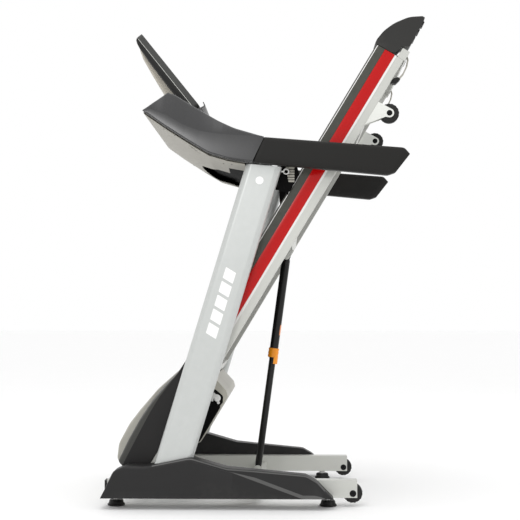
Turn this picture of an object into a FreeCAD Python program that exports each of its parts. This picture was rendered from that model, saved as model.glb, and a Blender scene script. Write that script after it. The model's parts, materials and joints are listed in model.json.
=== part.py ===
import FreeCAD, Part
import math
import os

import Sketcher

# A folding treadmill, standing folded: millimetres, +X to the rear where the user stands,
# -Y to the user's left, +Z up, the floor at Z = 0.
# Base parts are drawn in the standing frame. Deck parts are drawn in the deck's own frame, with
# X along the deck from the fold pivot, Z up from the running surface's side, and then folded up.

vector = FreeCAD.Vector
doc = FreeCAD.newDocument("folding_treadmill")
sheet = doc.addObject("Spreadsheet::Sheet", "Sizes")
nodes = []

cells = {
    # whole machine
    "origin_shift": 8.265, "deck_width": 580, "side_gap": 6.5, "fit": 0.3, "bore_fit": 0.06,
    "fold_angle": 58.9, "pivot_x": -339.5, "pivot_z": 152, "pivot_pin": 8,
    # base rails, crossbars, feet and wheels
    "rail_front": -468, "rail_rear": 283.5, "rail_low": 27, "rail_width": 40, "rail_height": 52,
    "rail_wall": 2.5, "crossbar_depth": 50, "crossbar_height": 40, "foot_front": -443,
    "foot_rear": 197, "foot_height": 18, "foot_bottom": 26, "foot_top": 21, "stud": 5,
    "base_wheel_x": 270.5, "base_wheel_z": 40, "base_wheel": 29.5, "base_wheel_width": 26,
    "axle": 5, "bracket_plate": 8, "bracket_foot": 40, "bracket_eye": 24,
    # uprights and their covers
    "upright_depth": 107, "upright_thick": 42.5, "upright_corner": 19, "upright_wall": 2.5,
    "upright_foot_x": -291, "upright_foot_z": 52, "upright_length": 1015, "upright_lean": 16.95,
    "cover_width": 63.5, "cover_wall": 3, "cover_low": 33, "cover_front": -479, "bolt": 4,
    # console, handrails and display
    "grip_width": 42, "grip_out": 11, "grip_fall": 5.58, "grip_tube": 14, "shell_wall": 3,
    "console_drop": 12, "pan_side": 5, "belly_out": 170, "display_width": 300, "display_height": 302,
    "display_frame": 18, "display_rim": 22, "display_lean": 38.6, "cup": 40, "cup_depth": 46, "cup_wall": 2,
    "cup_out": 232, "cup_lean": 13.54,
    "button": 13, "button_rise": 3, "seam_drop": 0.6,
    # deck frame
    "deck_front": -38, "deck_rear": 1424, "deck_low": -40, "deck_rail_height": 54,
    "deck_rail_width": 40, "deck_rail_wall": 2, "board_front": 142, "board_rear": 1334,
    "board_top": 38, "board_thick": 18, "board_width": 530, "cross_height": 28,
    "trim_thick": 3, "trim_front": 296, "trim_top": 25.5, "trim_low": -16.5,
    "foot_rail_width": 76, "foot_rail_top": 57, "foot_rail_lip": 10.5, "foot_rail_leg": 23,
    # belt drive
    "belt_width": 420, "belt_thick": 2, "roller": 22.5, "roller_front": 85, "roller_rear": 1375,
    "drum_pulley": 36, "pulley_width": 16, "motor_along": 190, "motor_below": -52, "motor": 38,
    "motor_length": 150, "motor_pulley": 14, "flywheel": 40, "drive_thick": 3,
    # hood, belly pan and end caps
    "hood_wall": 3, "hood_centre_width": 380, "belly_width": 480, "belly_low": -110,
    "cap_width": 77, "cap_out": 2,
    # deck wheels
    "deck_wheel_along": 1263, "deck_wheel_below": -86.5, "deck_wheel": 30, "deck_wheel_width": 24,
    # folding strut
    "strut_foot_x": -22, "strut_foot_z": 72, "strut_pin_along": 739, "strut_pin_below": -35,
    "strut_rod": 11, "strut_tube": 14, "strut_rod_length": 391, "strut_tube_start": 364,
    "strut_pin": 6, "ear": 12, "ear_thick": 6, "collar_wall": 3, "collar_length": 30,
}
for row, (name, value) in enumerate(cells.items(), start=1):
    sheet.set("A%d" % row, name)
    sheet.set("B%d" % row, str(value))
    sheet.setAlias("B%d" % row, name)
doc.recompute()


def text_of(value):
    return value.text if isinstance(value, Size) else "(%s)" % repr(round(value, 4))


class Size:
    # A length kept as an expression of the sheet's cells, so that a feature can be bound to it.
    def __init__(self, text):
        self.text = text

    def __add__(self, other):
        return Size("(%s + %s)" % (self.text, text_of(other)))

    def __radd__(self, other):
        return Size("(%s + %s)" % (text_of(other), self.text))

    def __sub__(self, other):
        return Size("(%s - %s)" % (self.text, text_of(other)))

    def __rsub__(self, other):
        return Size("(%s - %s)" % (text_of(other), self.text))

    def __mul__(self, other):
        return Size("(%s * %s)" % (self.text, text_of(other)))

    __rmul__ = __mul__

    def __truediv__(self, other):
        return Size("(%s / %s)" % (self.text, text_of(other)))

    def __neg__(self):
        return Size("(0 - %s)" % self.text)


class Cells:
    def __getattr__(self, name):
        if name not in cells:
            raise AttributeError(name)
        return Size("Sizes." + name)


size = Cells()


def number(value):
    # The present value of a size, for geometry that is worked out in code.
    if not isinstance(value, Size):
        return float(value)
    return float(sheet.evalExpression(value.text))


def cosine(angle):
    return Size("cos(%s)" % angle.text)


def sine(angle):
    return Size("sin(%s)" % angle.text)


def bind(item, name, value):
    item.setExpression(name, text_of(value))


def place(item, x=0, y=0, z=0, axis=(0, 1, 0), angle=0):
    item.Placement = FreeCAD.Placement(vector(0, 0, 0), FreeCAD.Rotation(vector(*axis), 1))
    bind(item, "Placement.Base.x", x)
    bind(item, "Placement.Base.y", y)
    bind(item, "Placement.Base.z", z)
    bind(item, "Placement.Rotation.Angle", angle)
    return item


def stand(item, x=0, y=0, z=0, lean=0):
    # Puts a finished sub-part in the standing frame. A lean tips its top towards the user.
    place(item, x - size.origin_shift, y, z, (0, 1, 0), lean)
    nodes.append(item)
    return item


def fold(item, y=0):
    # Puts a finished sub-part, drawn in the deck's frame, on the folded deck.
    place(item, size.pivot_x - size.origin_shift, y, size.pivot_z, (0, -1, 0), size.fold_angle)
    nodes.append(item)
    return item


def box(name, x, y, z):
    item = doc.addObject("Part::Box", name)
    place(item, x[0], y[0], z[0])
    bind(item, "Length", x[1] - x[0])
    bind(item, "Width", y[1] - y[0])
    bind(item, "Height", z[1] - z[0])
    return item


turns = {"x": ((0, 1, 0), 90), "y": ((1, 0, 0), -90), "z": ((0, 0, 1), 0)}


def rod(name, radius, length, at, along="y"):
    item = doc.addObject("Part::Cylinder", name)
    axis, angle = turns[along]
    place(item, at[0], at[1], at[2], axis, angle)
    bind(item, "Radius", radius)
    bind(item, "Height", length)
    return item


def cut(name, base, *tools):
    item = doc.addObject("Part::Cut", name)
    item.Base = base
    item.Tool = tools[0] if len(tools) == 1 else join(name + "_tools", *tools)
    return item


def join(name, *parts):
    item = doc.addObject("Part::MultiFuse", name)
    item.Shapes = list(parts)
    return item


def group(name, *parts):
    item = doc.addObject("Part::Compound", name)
    item.Links = list(parts)
    return item


def mirror(item):
    other = doc.addObject("Part::Mirroring", item.Name + "_mirrored")
    other.Source = item
    other.Normal = (0, 1, 0)
    return other


def ring(name, outer, inner, length, at, along="y"):
    return cut(name, rod(name + "_outside", outer, length, at, along),
               rod(name + "_bore", inner, length, at, along))


def draw(body, role, points):
    # A closed outline whose corners are bound to the sheet.
    sketch = body.newObject("Sketcher::SketchObject", body.Name + "_outline")
    plane = [item for item in body.Origin.OriginFeatures if item.Role == role][0]
    sketch.AttachmentSupport = [(plane, "")]
    sketch.MapMode = "FlatFace"
    here = [(number(x), number(z)) for x, z in points]
    count = len(here)
    for corner in range(count):
        start, end = here[corner], here[(corner + 1) % count]
        sketch.addGeometry(Part.LineSegment(vector(*start, 0), vector(*end, 0)), False)
    for corner in range(count):
        sketch.addConstraint(Sketcher.Constraint("Coincident", corner, 2, (corner + 1) % count, 1))
    for corner, (x, z) in enumerate(points):
        for kind, value, now in (("DistanceX", x, here[corner][0]), ("DistanceY", z, here[corner][1])):
            index = sketch.addConstraint(Sketcher.Constraint(kind, -1, 1, corner, 1, now))
            sketch.setExpression("Constraints[%d]" % index, text_of(value))
    return sketch


def soften(body, radius, chosen):
    # Rounds the edges of the body's last feature for which chosen(edge) holds.
    last = body.Tip
    names = ["Edge%d" % (index + 1) for index, edge in enumerate(last.Shape.Edges) if chosen(edge)]
    fillet = body.newObject("PartDesign::Fillet", body.Name + "_fillet")
    fillet.Base = (last, names)
    bind(fillet, "Radius", radius)
    doc.recompute()


def slab(name, points, width, rounds=(), shoulder=None):
    # A side outline padded evenly across the machine. rounds holds (radius, corner numbers);
    # shoulder holds (side, radius) and rounds the rim of the face on that side.
    body = doc.addObject("PartDesign::Body", name)
    sketch = draw(body, "XZ_Plane", points)
    pad = body.newObject("PartDesign::Pad", name + "_pad")
    pad.Profile = sketch
    pad.Midplane = True
    bind(pad, "Length", width)
    doc.recompute()
    here = [(number(x), number(z)) for x, z in points]
    for radius, corners in rounds:
        spots = [here[corner] for corner in corners]
        soften(body, radius, lambda edge: any(
            all(math.hypot(end.X - x, end.Z - z) < 0.01 for end in edge.Vertexes)
            for x, z in spots))
    if shoulder:
        side, radius = shoulder
        face_y = side * number(width) / 2
        foot = min(z for x, z in here)
        soften(body, radius, lambda edge: all(abs(end.Y - face_y) < 0.01 for end in edge.Vertexes)
               and any(end.Z > foot + 0.01 for end in edge.Vertexes))
    return body


def strip(name, points, start, end):
    # A cross-section in Y and Z padded along X from start to end.
    body = doc.addObject("PartDesign::Body", name)
    sketch = draw(body, "YZ_Plane", points)
    pad = body.newObject("PartDesign::Pad", name + "_pad")
    pad.Profile = sketch
    bind(pad, "Length", end - start)
    doc.recompute()
    place(body, start)
    return group(name + "_run", body)


def inset(points, wall, open_sides=()):
    # The same outline moved inwards by the wall. An open side is moved outwards by 1 mm instead,
    # so that the hollow breaks through it. Side N runs from corner N to the next one.
    here = [(number(x), number(z)) for x, z in points]
    count = len(here)
    area = sum(here[i - 1][0] * here[i][1] - here[i][0] * here[i - 1][1] for i in range(count))
    turn = 1 if area > 0 else -1
    lines = []
    for corner in range(count):
        start, end = here[corner], here[(corner + 1) % count]
        run = math.hypot(end[0] - start[0], end[1] - start[1])
        inward = (-turn * (end[1] - start[1]) / run, turn * (end[0] - start[0]) / run)
        lines.append((inward, corner in open_sides))
    moved = []
    for corner in range(count):
        (a, a_open), (b, b_open) = lines[corner - 1], lines[corner]
        across = a[0] * b[1] - a[1] * b[0]
        shift_a = -1 if a_open else wall
        shift_b = -1 if b_open else wall
        dx = shift_a * (b[1] / across) - shift_b * (a[1] / across)
        dz = shift_b * (a[0] / across) - shift_a * (b[0] / across)
        moved.append((points[corner][0] + dx, points[corner][1] + dz))
    return moved


def shell(name, points, width, wall, open_sides, rounds=(), shoulder=None):
    # A hollow moulding: its side walls, and every side of its outline that isn't open, are closed.
    outside = slab(name + "_outside", points, width, rounds, shoulder)
    inner_rounds = [(radius - wall, corners) for radius, corners in rounds]
    hollow = slab(name + "_hollow", inset(points, wall, open_sides), width - 2 * wall, inner_rounds)
    return outside, hollow


sides = (("left", -1), ("right", 1))
deck_half = size.deck_width / 2
cover_in = deck_half + size.side_gap
cover_out = cover_in + size.cover_width
upright_y = cover_in + size.cover_wall + size.fit + size.upright_thick / 2
grip_y = cover_out + size.grip_out - size.grip_width / 2
rail_y = cover_in - size.fit - size.rail_width / 2
rail_top = size.rail_low + size.rail_height
deck_rail_y = deck_half - 2 - size.deck_rail_width / 2
rail_inside = size.rail_width / 2 - size.rail_wall
rail_reach = rail_y - size.rail_width / 2
bracket_y = deck_rail_y - size.deck_rail_width / 2 - 4 - size.bracket_plate / 2
crossbar_top = size.rail_low + size.crossbar_height
fold_cosine = cosine(size.fold_angle)
fold_sine = sine(size.fold_angle)
upright_shift = sine(size.upright_lean) / cosine(size.upright_lean)
bolt_heights = (42, 66)


def upright_x(height):
    # Where the middle of an upright stands at a height above the floor.
    return size.upright_foot_x + (height - size.upright_foot_z) * upright_shift


def bolt_holes(name, length, middle=0):
    # The bolt holes through a piece of that width, whose own middle is off the holes' middle.
    return [rod("%s_hole_%d" % (name, height), size.bolt + size.bore_fit, length,
                (upright_x(height), middle - length / 2, height)) for height in bolt_heights]


def base_rail(word, side):
    name = "base_rail_" + word
    half = size.rail_width / 2
    outside = box(name + "_outside", (size.rail_front, size.rail_rear), (-half, half),
                  (size.rail_low, rail_top))
    hollow = box(name + "_hollow", (size.rail_front - 1, size.rail_rear + 1),
                 (-rail_inside, rail_inside), (size.rail_low + size.rail_wall, rail_top - size.rail_wall))
    wheel_slot = box(name + "_wheel_slot",
                     (size.base_wheel_x - size.base_wheel - 4, size.rail_rear + 1),
                     (-rail_inside, rail_inside), (size.rail_low - 1, size.base_wheel_z))
    axle_hole = rod(name + "_axle_hole", size.axle + size.bore_fit, size.rail_width + 2,
                    (size.base_wheel_x, -half - 1, size.base_wheel_z))
    holes = bolt_holes(name, size.rail_width + 2)
    stand(cut(name, outside, hollow, wheel_slot, axle_hole, *holes), y=side * rail_y)


def front_crossbar():
    # The box-section bar under the fold pivot, with the two pivot brackets welded on top of it.
    half = size.crossbar_depth / 2
    wall = size.rail_wall
    bar = box("front_bar", (size.pivot_x - half, size.pivot_x + half), (-rail_reach, rail_reach),
              (size.rail_low, crossbar_top))
    hollow = box("front_bar_hollow", (size.pivot_x - half + wall, size.pivot_x + half - wall),
                 (-rail_reach - 1, rail_reach + 1), (size.rail_low + wall, crossbar_top - wall))
    pieces = [cut("front_tube", bar, hollow)]
    foot, eye = size.bracket_foot, size.bracket_eye
    for word, side in sides:
        plate = slab("pivot_plate_" + word, [(size.pivot_x - foot / 2, crossbar_top),
                                             (size.pivot_x + foot / 2, crossbar_top),
                                             (size.pivot_x + eye, size.pivot_z),
                                             (size.pivot_x - eye, size.pivot_z)], size.bracket_plate)
        pieces.append(place(plate, y=side * bracket_y))
        pieces.append(rod("pivot_eye_" + word, eye, size.bracket_plate,
                          (size.pivot_x, side * bracket_y - size.bracket_plate / 2, size.pivot_z)))
    bore = rod("pivot_bore", size.pivot_pin + size.bore_fit, 2 * rail_reach,
               (size.pivot_x, -rail_reach, size.pivot_z))
    return cut("front_bar_welded", join("front_weldment", *pieces), bore)


def pivot_pin():
    inner = bracket_y - size.bracket_plate / 2 - size.fit
    outer = deck_half - 4
    at = (size.pivot_x, inner, size.pivot_z)
    shank = rod("pivot_shank", size.pivot_pin, outer - inner, at)
    head = rod("pivot_head", size.pivot_pin + 5, 6, (size.pivot_x, inner - 6, size.pivot_z))
    return join("pivot_pin", shank, head)


def pivot_bar():
    # The crossbar and the two pins that the deck turns on.
    pin = pivot_pin()
    stand(group("front_crossbar", front_crossbar(), pin, mirror(pin)))


def strut_crossbar():
    # The bar that carries the foot of the strut, with its two ears and their pin.
    low, top = size.rail_low, size.strut_foot_z - size.ear - 3
    foot_x, foot_z, ear = size.strut_foot_x, size.strut_foot_z, size.ear
    bar = box("strut_bar", (foot_x - 16, foot_x + 24), (-rail_reach, rail_reach), (low, top))
    wall = size.rail_wall
    hollow = box("strut_bar_hollow", (foot_x - 16 + wall, foot_x + 24 - wall),
                 (-rail_reach - 1, rail_reach + 1), (low + wall, top - wall))
    pieces = [cut("strut_tube_bar", bar, hollow)]
    ear_in = size.strut_tube
    for word, side in sides:
        plate = slab("foot_ear_" + word, [(foot_x - 15, top), (foot_x + 15, top), (foot_x + ear, foot_z),
                                          (foot_x - ear, foot_z)], size.ear_thick)
        middle = side * (ear_in + size.ear_thick / 2)
        pieces.append(place(plate, y=middle))
        pieces.append(rod("foot_eye_" + word, ear, size.ear_thick,
                          (foot_x, middle - size.ear_thick / 2, foot_z)))
    reach = ear_in + size.ear_thick
    bore = rod("foot_bore", size.strut_pin + size.bore_fit, 2 * reach + 2, (foot_x, -reach - 1, foot_z))
    pin = rod("foot_pin", size.strut_pin, 2 * reach + 6, (foot_x, -reach - 3, foot_z))
    stand(group("strut_crossbar", cut("strut_weldment", join("strut_bar_parts", *pieces), bore), pin))


def levelling_feet():
    feet = []
    for word, x in (("front", size.foot_front), ("rear", size.foot_rear)):
        pad = doc.addObject("Part::Cone", "foot_pad_" + word)
        place(pad, x, -rail_y, 0, (0, 0, 1), 0)
        bind(pad, "Radius1", size.foot_bottom)
        bind(pad, "Radius2", size.foot_top)
        bind(pad, "Height", size.foot_height)
        stud = rod("foot_stud_" + word, size.stud, size.rail_low - size.foot_height,
                   (x, -rail_y, size.foot_height), "z")
        foot = join("foot_" + word, pad, stud)
        feet += [foot, mirror(foot)]
    stand(group("levelling_feet", *feet))


def upright_prism(name, grow, length):
    # The upright's rounded box section, drawn upright in its own frame from the foot centre up.
    body = doc.addObject("PartDesign::Body", name)
    half_x, half_y = size.upright_depth / 2 + grow, size.upright_thick / 2 + grow
    sketch = draw(body, "XY_Plane", [(-half_x, -half_y), (half_x, -half_y), (half_x, half_y),
                                     (-half_x, half_y)])
    pad = body.newObject("PartDesign::Pad", name + "_pad")
    pad.Profile = sketch
    bind(pad, "Length", length)
    doc.recompute()
    soften(body, size.upright_corner + grow, lambda edge: abs(
        edge.Vertexes[0].Z - edge.Vertexes[-1].Z) > 1)
    return body


def upright(word, side):
    name = "upright_" + word
    outside = upright_prism(name + "_outside", 0, size.upright_length + 60)
    hollow = upright_prism(name + "_hollow", -size.upright_wall, size.upright_length + 61)
    tilt = size.grip_fall - size.upright_lean
    above = box(name + "_above", (0, 400), (-60, 60), (0, 120))
    place(above, -200 * cosine(tilt), -60, size.upright_length + 200 * sine(tilt), (0, 1, 0), tilt)
    tools = [hollow, above]
    for height in bolt_heights:
        along = (height - size.upright_foot_z) / cosine(size.upright_lean)
        tools.append(rod("%s_hole_%d" % (name, height), size.bolt + size.bore_fit,
                         2 * size.upright_thick, (0, -size.upright_thick, along)))
    stand(cut(name, outside, *tools), size.upright_foot_x, side * upright_y, size.upright_foot_z,
          size.upright_lean)


def base_cover(word, side):
    # The long moulded cover round an upright's foot. It is open below and stands beside the rail.
    name = "base_cover_" + word
    front, low = size.cover_front, size.cover_low
    outline = [(front, low), (-441, low + 80), (-405, low + 95), (-345, low + 94), (-213, low + 120),
               (-105, low + 89), (130, low + 67), (162, low + 49), (210, low)]
    outside, hollow = shell(name, outline, size.cover_width, size.cover_wall, (8,),
                            ((22, (1, 2, 7)), (40, (4,)), (60, (5,)), (30, (6,))), (side, 6))
    passage = upright_prism(name + "_passage", size.fit, 300)
    cover_y = cover_in + size.cover_width / 2
    place(passage, size.upright_foot_x, side * (upright_y - cover_y), size.upright_foot_z, (0, 1, 0),
          size.upright_lean)
    reach = size.cover_wall + size.upright_thick + 4
    holes = bolt_holes(name, reach, side * ((reach - size.cover_width) / 2 - 2))
    stand(cut(name, outside, hollow, passage, *holes), y=side * cover_y)


def base_bolts():
    # The bolts through rail, cover and upright, and the axle bolts of the base wheels.
    bolts = []
    head_y = upright_y + size.upright_thick / 2 + size.fit
    start = rail_y + rail_inside - 3
    for height in bolt_heights:
        x = upright_x(height)
        shank = rod("bolt_shank_%d" % height, size.bolt, head_y - start + 1, (x, start, height))
        head = rod("bolt_head_%d" % height, size.bolt * 1.8, 5, (x, head_y, height))
        bolt = join("bolt_%d" % height, shank, head)
        bolts += [bolt, mirror(bolt)]
    reach = size.rail_width / 2 + size.fit
    x, z = size.base_wheel_x, size.base_wheel_z
    shank = rod("wheel_bolt_shank", size.axle, 2 * reach + 4, (x, rail_y - reach - 2, z))
    head = rod("wheel_bolt_head", size.axle * 1.9, 4, (x, rail_y + reach, z))
    nut = rod("wheel_bolt_nut", size.axle * 1.9, 5, (x, rail_y - reach - 5, z))
    wheel_bolt = join("wheel_bolt", shank, head, nut)
    bolts += [wheel_bolt, mirror(wheel_bolt)]
    stand(group("base_bolts", *bolts))


def wheel(name, radius, width, bore):
    # A solid tyre on a hub that stands 0.5 mm proud of it on each side.
    tyre = rod(name + "_tyre", radius, width - 1, (0, -width / 2 + 0.5, 0))
    hub = rod(name + "_hub", radius * 0.55, width, (0, -width / 2, 0))
    hole = rod(name + "_bore", bore + size.bore_fit, width + 2, (0, -width / 2 - 1, 0))
    return cut(name, join(name + "_solid", tyre, hub), hole)


def base_wheel(word, side):
    item = wheel("base_wheel_" + word, size.base_wheel, size.base_wheel_width, size.axle)
    stand(item, size.base_wheel_x, side * rail_y, size.base_wheel_z)


cheek_top = [(-358, 1185), (-284, 1243), (-262, 1235), (-221, 1209), (-131, 1155), (-84, 1132)]
cheek_low = [(-102, 1039), (-160, 1056), (-220, 1092), (-293, 1139)]
grip_seam = ((-27, 1028), (6, 1105))
cup_at = (-50, 1092)
cup_hang = 25.4
grip_end = ((424, 1072), (441, 1053), (397, 997), (374, 989))


def grip_body(name, width):
    body = slab(name, [grip_seam[0], grip_end[3], grip_end[2], grip_end[1], grip_end[0],
                       grip_seam[1]], width, ((14, (1, 2)), (16, (3, 4))))
    half = number(width) / 2
    soften(body, 13, lambda edge: all(
        abs(abs(end.Y) - half) < 0.01 for end in edge.Vertexes) and any(
        end.X > grip_seam[1][0] + 1 for end in edge.Vertexes))
    return body


def handrail(word, side):
    name = "handrail_" + word
    bore = rod(name + "_bore", size.grip_tube + size.fit, 392, (0, 0, 0), "x")
    place(bore, 4, 0, 1052, (0, 1, 0), 92.5)
    pocket = box(name + "_pocket", (-14, 24), (-30 if side > 0 else -15, 15 if side > 0 else 30),
                 (1023.7, 1055))
    stand(cut(name, grip_body(name + "_grip", size.grip_width), bore, pocket), y=side * grip_y)


def console_frame():
    # The welded tube frame that stands on the uprights: a crossbar and the two handrail tubes.
    reach = grip_y + 14
    bar = box("console_bar", (-10, 20), (-reach, reach), (1025.8, 1052))
    tubes = []
    for word, side in sides:
        tube = rod("handrail_tube_" + word, size.grip_tube, 388, (0, 0, 0), "x")
        tubes.append(place(tube, 4, side * grip_y, 1052, (0, 1, 0), 92.5))
    stand(join("console_frame", bar, *tubes))


def eye_bolts():
    # The eye at the top rear edge of each upright.
    eye = doc.addObject("Part::Torus", "eye_ring")
    place(eye, 72, -upright_y, 1006, (1, 0, 0), 90)
    eye.Radius1, eye.Radius2 = 7.5, 2.4
    stem = rod("eye_stem", 3, 9, (57.0, -upright_y, 1006), "x")
    bolt = join("eye_bolt", eye, stem)
    stand(group("eye_bolts", bolt, mirror(bolt)))


def console_cheeks():
    # The dark side mouldings that carry the handrails' line up to the console's front corner.
    seam_gap = 0.8
    outline = cheek_top + [(grip_seam[1][0] - seam_gap, grip_seam[1][1]),
                           (grip_seam[0][0] - seam_gap, grip_seam[0][1] + 1.5), (-48, 1031)] + cheek_low
    cheek = slab("console_cheek", outline, size.grip_width, ((8, (1,)), (30, (5,)), (60, (9,))))
    half = number(size.grip_width) / 2
    soften(cheek, 7, lambda edge: all(
        abs(abs(end.Y) - half) < 0.01 for end in edge.Vertexes) and any(
        end.X < grip_seam[0][0] - 2 for end in edge.Vertexes))
    notch = box("cheek_notch", (-14, 24), (-30, 30), (1023.7, 1053))
    side_piece = place(cut("cheek_piece", cheek, notch), y=-grip_y)
    stand(group("console_cheeks", side_piece, mirror(side_piece)))


def console_upper_shell():
    # The moulded top of the console between the cheeks, open underneath, with the cup holes.
    drop = size.console_drop
    inner_half = grip_y - size.grip_width / 2 - size.fit
    outline = [(-346, 1194 - drop), (-284, 1243 - drop), (-221, 1209 - drop), (-131, 1155 - drop),
               (-84, 1132 - drop), (24, 1106 - drop), (24, 1053), (-14, 1052.5), (-102, 1041),
               (-160, 1058), (-220, 1094), (-293, 1141)]
    outside, hollow = shell("console_upper", outline, 2 * inner_half, size.shell_wall,
                            (6, 7, 8, 9, 10, 11), ((8, (1,)), (30, (4,)), (8, (5,))))
    holes = []
    for word, side in sides:
        hole = rod("cup_hole_" + word, size.cup + size.fit, 60, (0, 0, 0), "z")
        holes.append(place(hole, cup_at[0], side * size.cup_out, cup_at[1], (0, 1, 0), size.cup_lean))
    stand(cut("console_upper_shell", outside, hollow, *holes))


def cup_holders():
    # Each cup hangs from its rim, square to the slope of the console's top.
    cups = []
    for word, side in sides:
        wall = size.cup_wall
        outside = rod("cup_" + word, size.cup, size.cup_depth, (0, 0, 0), "z")
        rim = rod("cup_rim_" + word, size.cup + 3, 2, (0, 0, size.cup_depth), "z")
        inside = rod("cup_inside_" + word, size.cup - wall, size.cup_depth + 3, (0, 0, wall), "z")
        cup = cut("cup_holder_" + word, join("cup_solid_" + word, outside, rim), inside)
        cups.append(place(cup, cup_at[0] - cup_hang * sine(size.cup_lean), side * size.cup_out,
                          cup_at[1] - cup_hang * cosine(size.cup_lean), (0, 1, 0), size.cup_lean))
    stand(group("cup_holders", *cups))


def console_lower_shell():
    # The pale underside of the console: a shallow pan with a deeper middle, open behind.
    top = [(-52, 1029.5)] + [(x, z - size.seam_drop) for x, z in cheek_low] + [(-357, 1183.6)]
    rim_under = [(-352, 1174), (-291, 1131), (-218, 1084), (-158.5, 1048.5), (-101, 1031.5), (-52, 1023)]
    belly_under = [(-330, 1163), (-297, 1136), (-228, 1083), (-176, 1046), (-120, 1030), (-52, 1017)]
    top_sides = tuple(range(len(top) - 1))
    rim, rim_hollow = shell("pan_rim", top + rim_under, 2 * (grip_y - size.pan_side),
                            size.shell_wall, top_sides)
    belly, belly_hollow = shell("pan_belly", top + belly_under, 2 * size.belly_out, size.shell_wall,
                                top_sides)
    inner = size.belly_out - 10
    opening = box("pan_opening", (-165, -40), (-inner, inner), (1000, 1080))
    rear_reach = size.belly_out + 80
    rear_opening = box("pan_rear_opening", (-105, -40), (-rear_reach, rear_reach), (1000, 1060))
    stand(cut("console_lower_shell", join("pan_solid", rim, belly), rim_hollow, belly_hollow, opening,
              rear_opening))


display_at = (-204, 1239.5)


def on_display(item, y=0, x=0, z=0):
    # Display parts are drawn with Z up the leaning panel and X out of its face.
    lean = -size.display_lean
    return stand(item, display_at[0] + x * cosine(size.display_lean) + z * sine(lean), y,
                 display_at[1] + x * sine(size.display_lean) + z * cosine(lean), lean)


def display():
    half, tall = size.display_width / 2, size.display_height
    seam, back = -size.display_frame, -size.display_frame - size.display_rim
    border = 18
    frame = slab("display_frame", [(seam, 0), (0, 0), (0, tall), (seam, tall)], size.display_width)
    rim = slab("display_rim", [(back, 2), (seam, 2), (seam, tall - 2), (back, tall - 2)],
               size.display_width - 4)
    recess = box("screen_recess", (-4, 1), (-(half - border), half - border), (border + 22, tall - border))
    on_display(cut("display_bezel", join("display_solid", frame, rim), recess))
    screen = box("screen_panel", (-4, -1), (-(half - border - size.fit), half - border - size.fit),
                 (border + 22 + size.fit, tall - border - size.fit))
    on_display(group("display_screen", screen))
    housing = slab("display_housing", [
        (back, 30), (back, tall - 6), (back - 3, tall - 14), (back - 10, 234), (back - 17, 145),
        (back - 24.4, 50.5), (back - 2.9, -14.5), (back - 0.5, -12)], 230, ((2, (2,)),))
    on_display(group("display_back", housing))
    ledge = slab("ledge", [(0.0, -3), (17, -6), (20, 9), (17, 9.5), (14.5, -2), (0.0, 1)], 236)
    on_display(group("tablet_ledge", ledge))


keypad_at = (-212, 1191.9)
keypad_fall = 30.97
buttons = (("start_button", -60, 0), ("stop_button", 60, 0), ("slower_button", -110, 0),
           ("faster_button", 110, 0), ("menu_button", 0, 0))


def on_keypad(item, along, y, rise):
    # Keypad parts lie on the console's sloping top. along runs down the slope to the user.
    fall = math.radians(keypad_fall)
    x = keypad_at[0] + along * math.cos(fall) + rise * math.sin(fall)
    z = keypad_at[1] - along * math.sin(fall) + rise * math.cos(fall)
    place(item, x, y, z, (0, 1, 0), keypad_fall)
    return item


def keypad():
    plate = box("keypad_plate", (0, 84), (-150, 150), (0, 4.5))
    holes = [rod("keypad_hole_%d" % y, size.button + size.fit, 8, (44, y, -1), "z")
             for word, y, along in buttons]
    stand(group("keypad", on_keypad(cut("keypad_cut", plate, *holes), 0, 0, 0.3)))
    for word, y, along in buttons:
        cap = rod(word + "_cap", size.button, 5.2, (0, 0, 0), "z")
        stand(group(word, on_keypad(cap, 44, y, 2.3)))


def safety_key():
    stem = rod("key_stem", 8, 4, (-75, 0, 1120.4), "z")
    grip = slab("key_grip", [(-83, 1124.4), (-67, 1124.4), (-68, 1137), (-82, 1137)], 26, ((3, (2, 3)),))
    stand(join("safety_key", stem, grip))


strut_pin_x = (size.pivot_x + size.strut_pin_along * fold_cosine - size.strut_pin_below * fold_sine)
strut_pin_z = (size.pivot_z + size.strut_pin_along * fold_sine + size.strut_pin_below * fold_cosine)
strut_run_x = number(strut_pin_x) - cells["strut_foot_x"]
strut_run_z = number(strut_pin_z) - cells["strut_foot_z"]
strut_length = math.hypot(strut_run_x, strut_run_z)
strut_lean = math.degrees(math.atan2(strut_run_x, strut_run_z))


def on_strut(item):
    return stand(item, size.strut_foot_x, 0, size.strut_foot_z, strut_lean)


def strut():
    eye, wide = size.ear, size.strut_tube - 1
    foot = rod("strut_foot_eye", eye - 0.5, 2 * wide, (0, -wide, 0))
    rod_solid = rod("strut_rod_solid", size.strut_rod, size.strut_rod_length, (0, 0, 0), "z")
    foot_bore = rod("strut_foot_bore", size.strut_pin + size.bore_fit, 40, (0, -20, 0))
    on_strut(cut("strut_lower", join("strut_lower_solid", foot, rod_solid), foot_bore))
    start = size.strut_tube_start
    tube = rod("strut_tube_outside", size.strut_tube, strut_length - start, (0, 0, start), "z")
    head = rod("strut_head_eye", size.strut_tube, 2 * wide, (0, -wide, strut_length))
    bore = rod("strut_tube_bore", size.strut_rod + size.bore_fit, strut_length - start - 24,
               (0, 0, start - 1), "z")
    head_bore = rod("strut_head_bore", size.strut_pin + 1, 40, (0, -20, strut_length))
    on_strut(cut("strut_upper", join("strut_upper_solid", tube, head), bore, head_bore))
    collar = ring("collar_ring", size.strut_tube + size.collar_wall, size.strut_tube + size.fit,
                  size.collar_length, (0, 0, start + 14), "z")
    tab = box("collar_tab", (size.strut_tube + 1.2, size.strut_tube + 5), (-8, 8), (start - 6, start + 16))
    on_strut(join("latch_collar", collar, tab))


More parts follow.
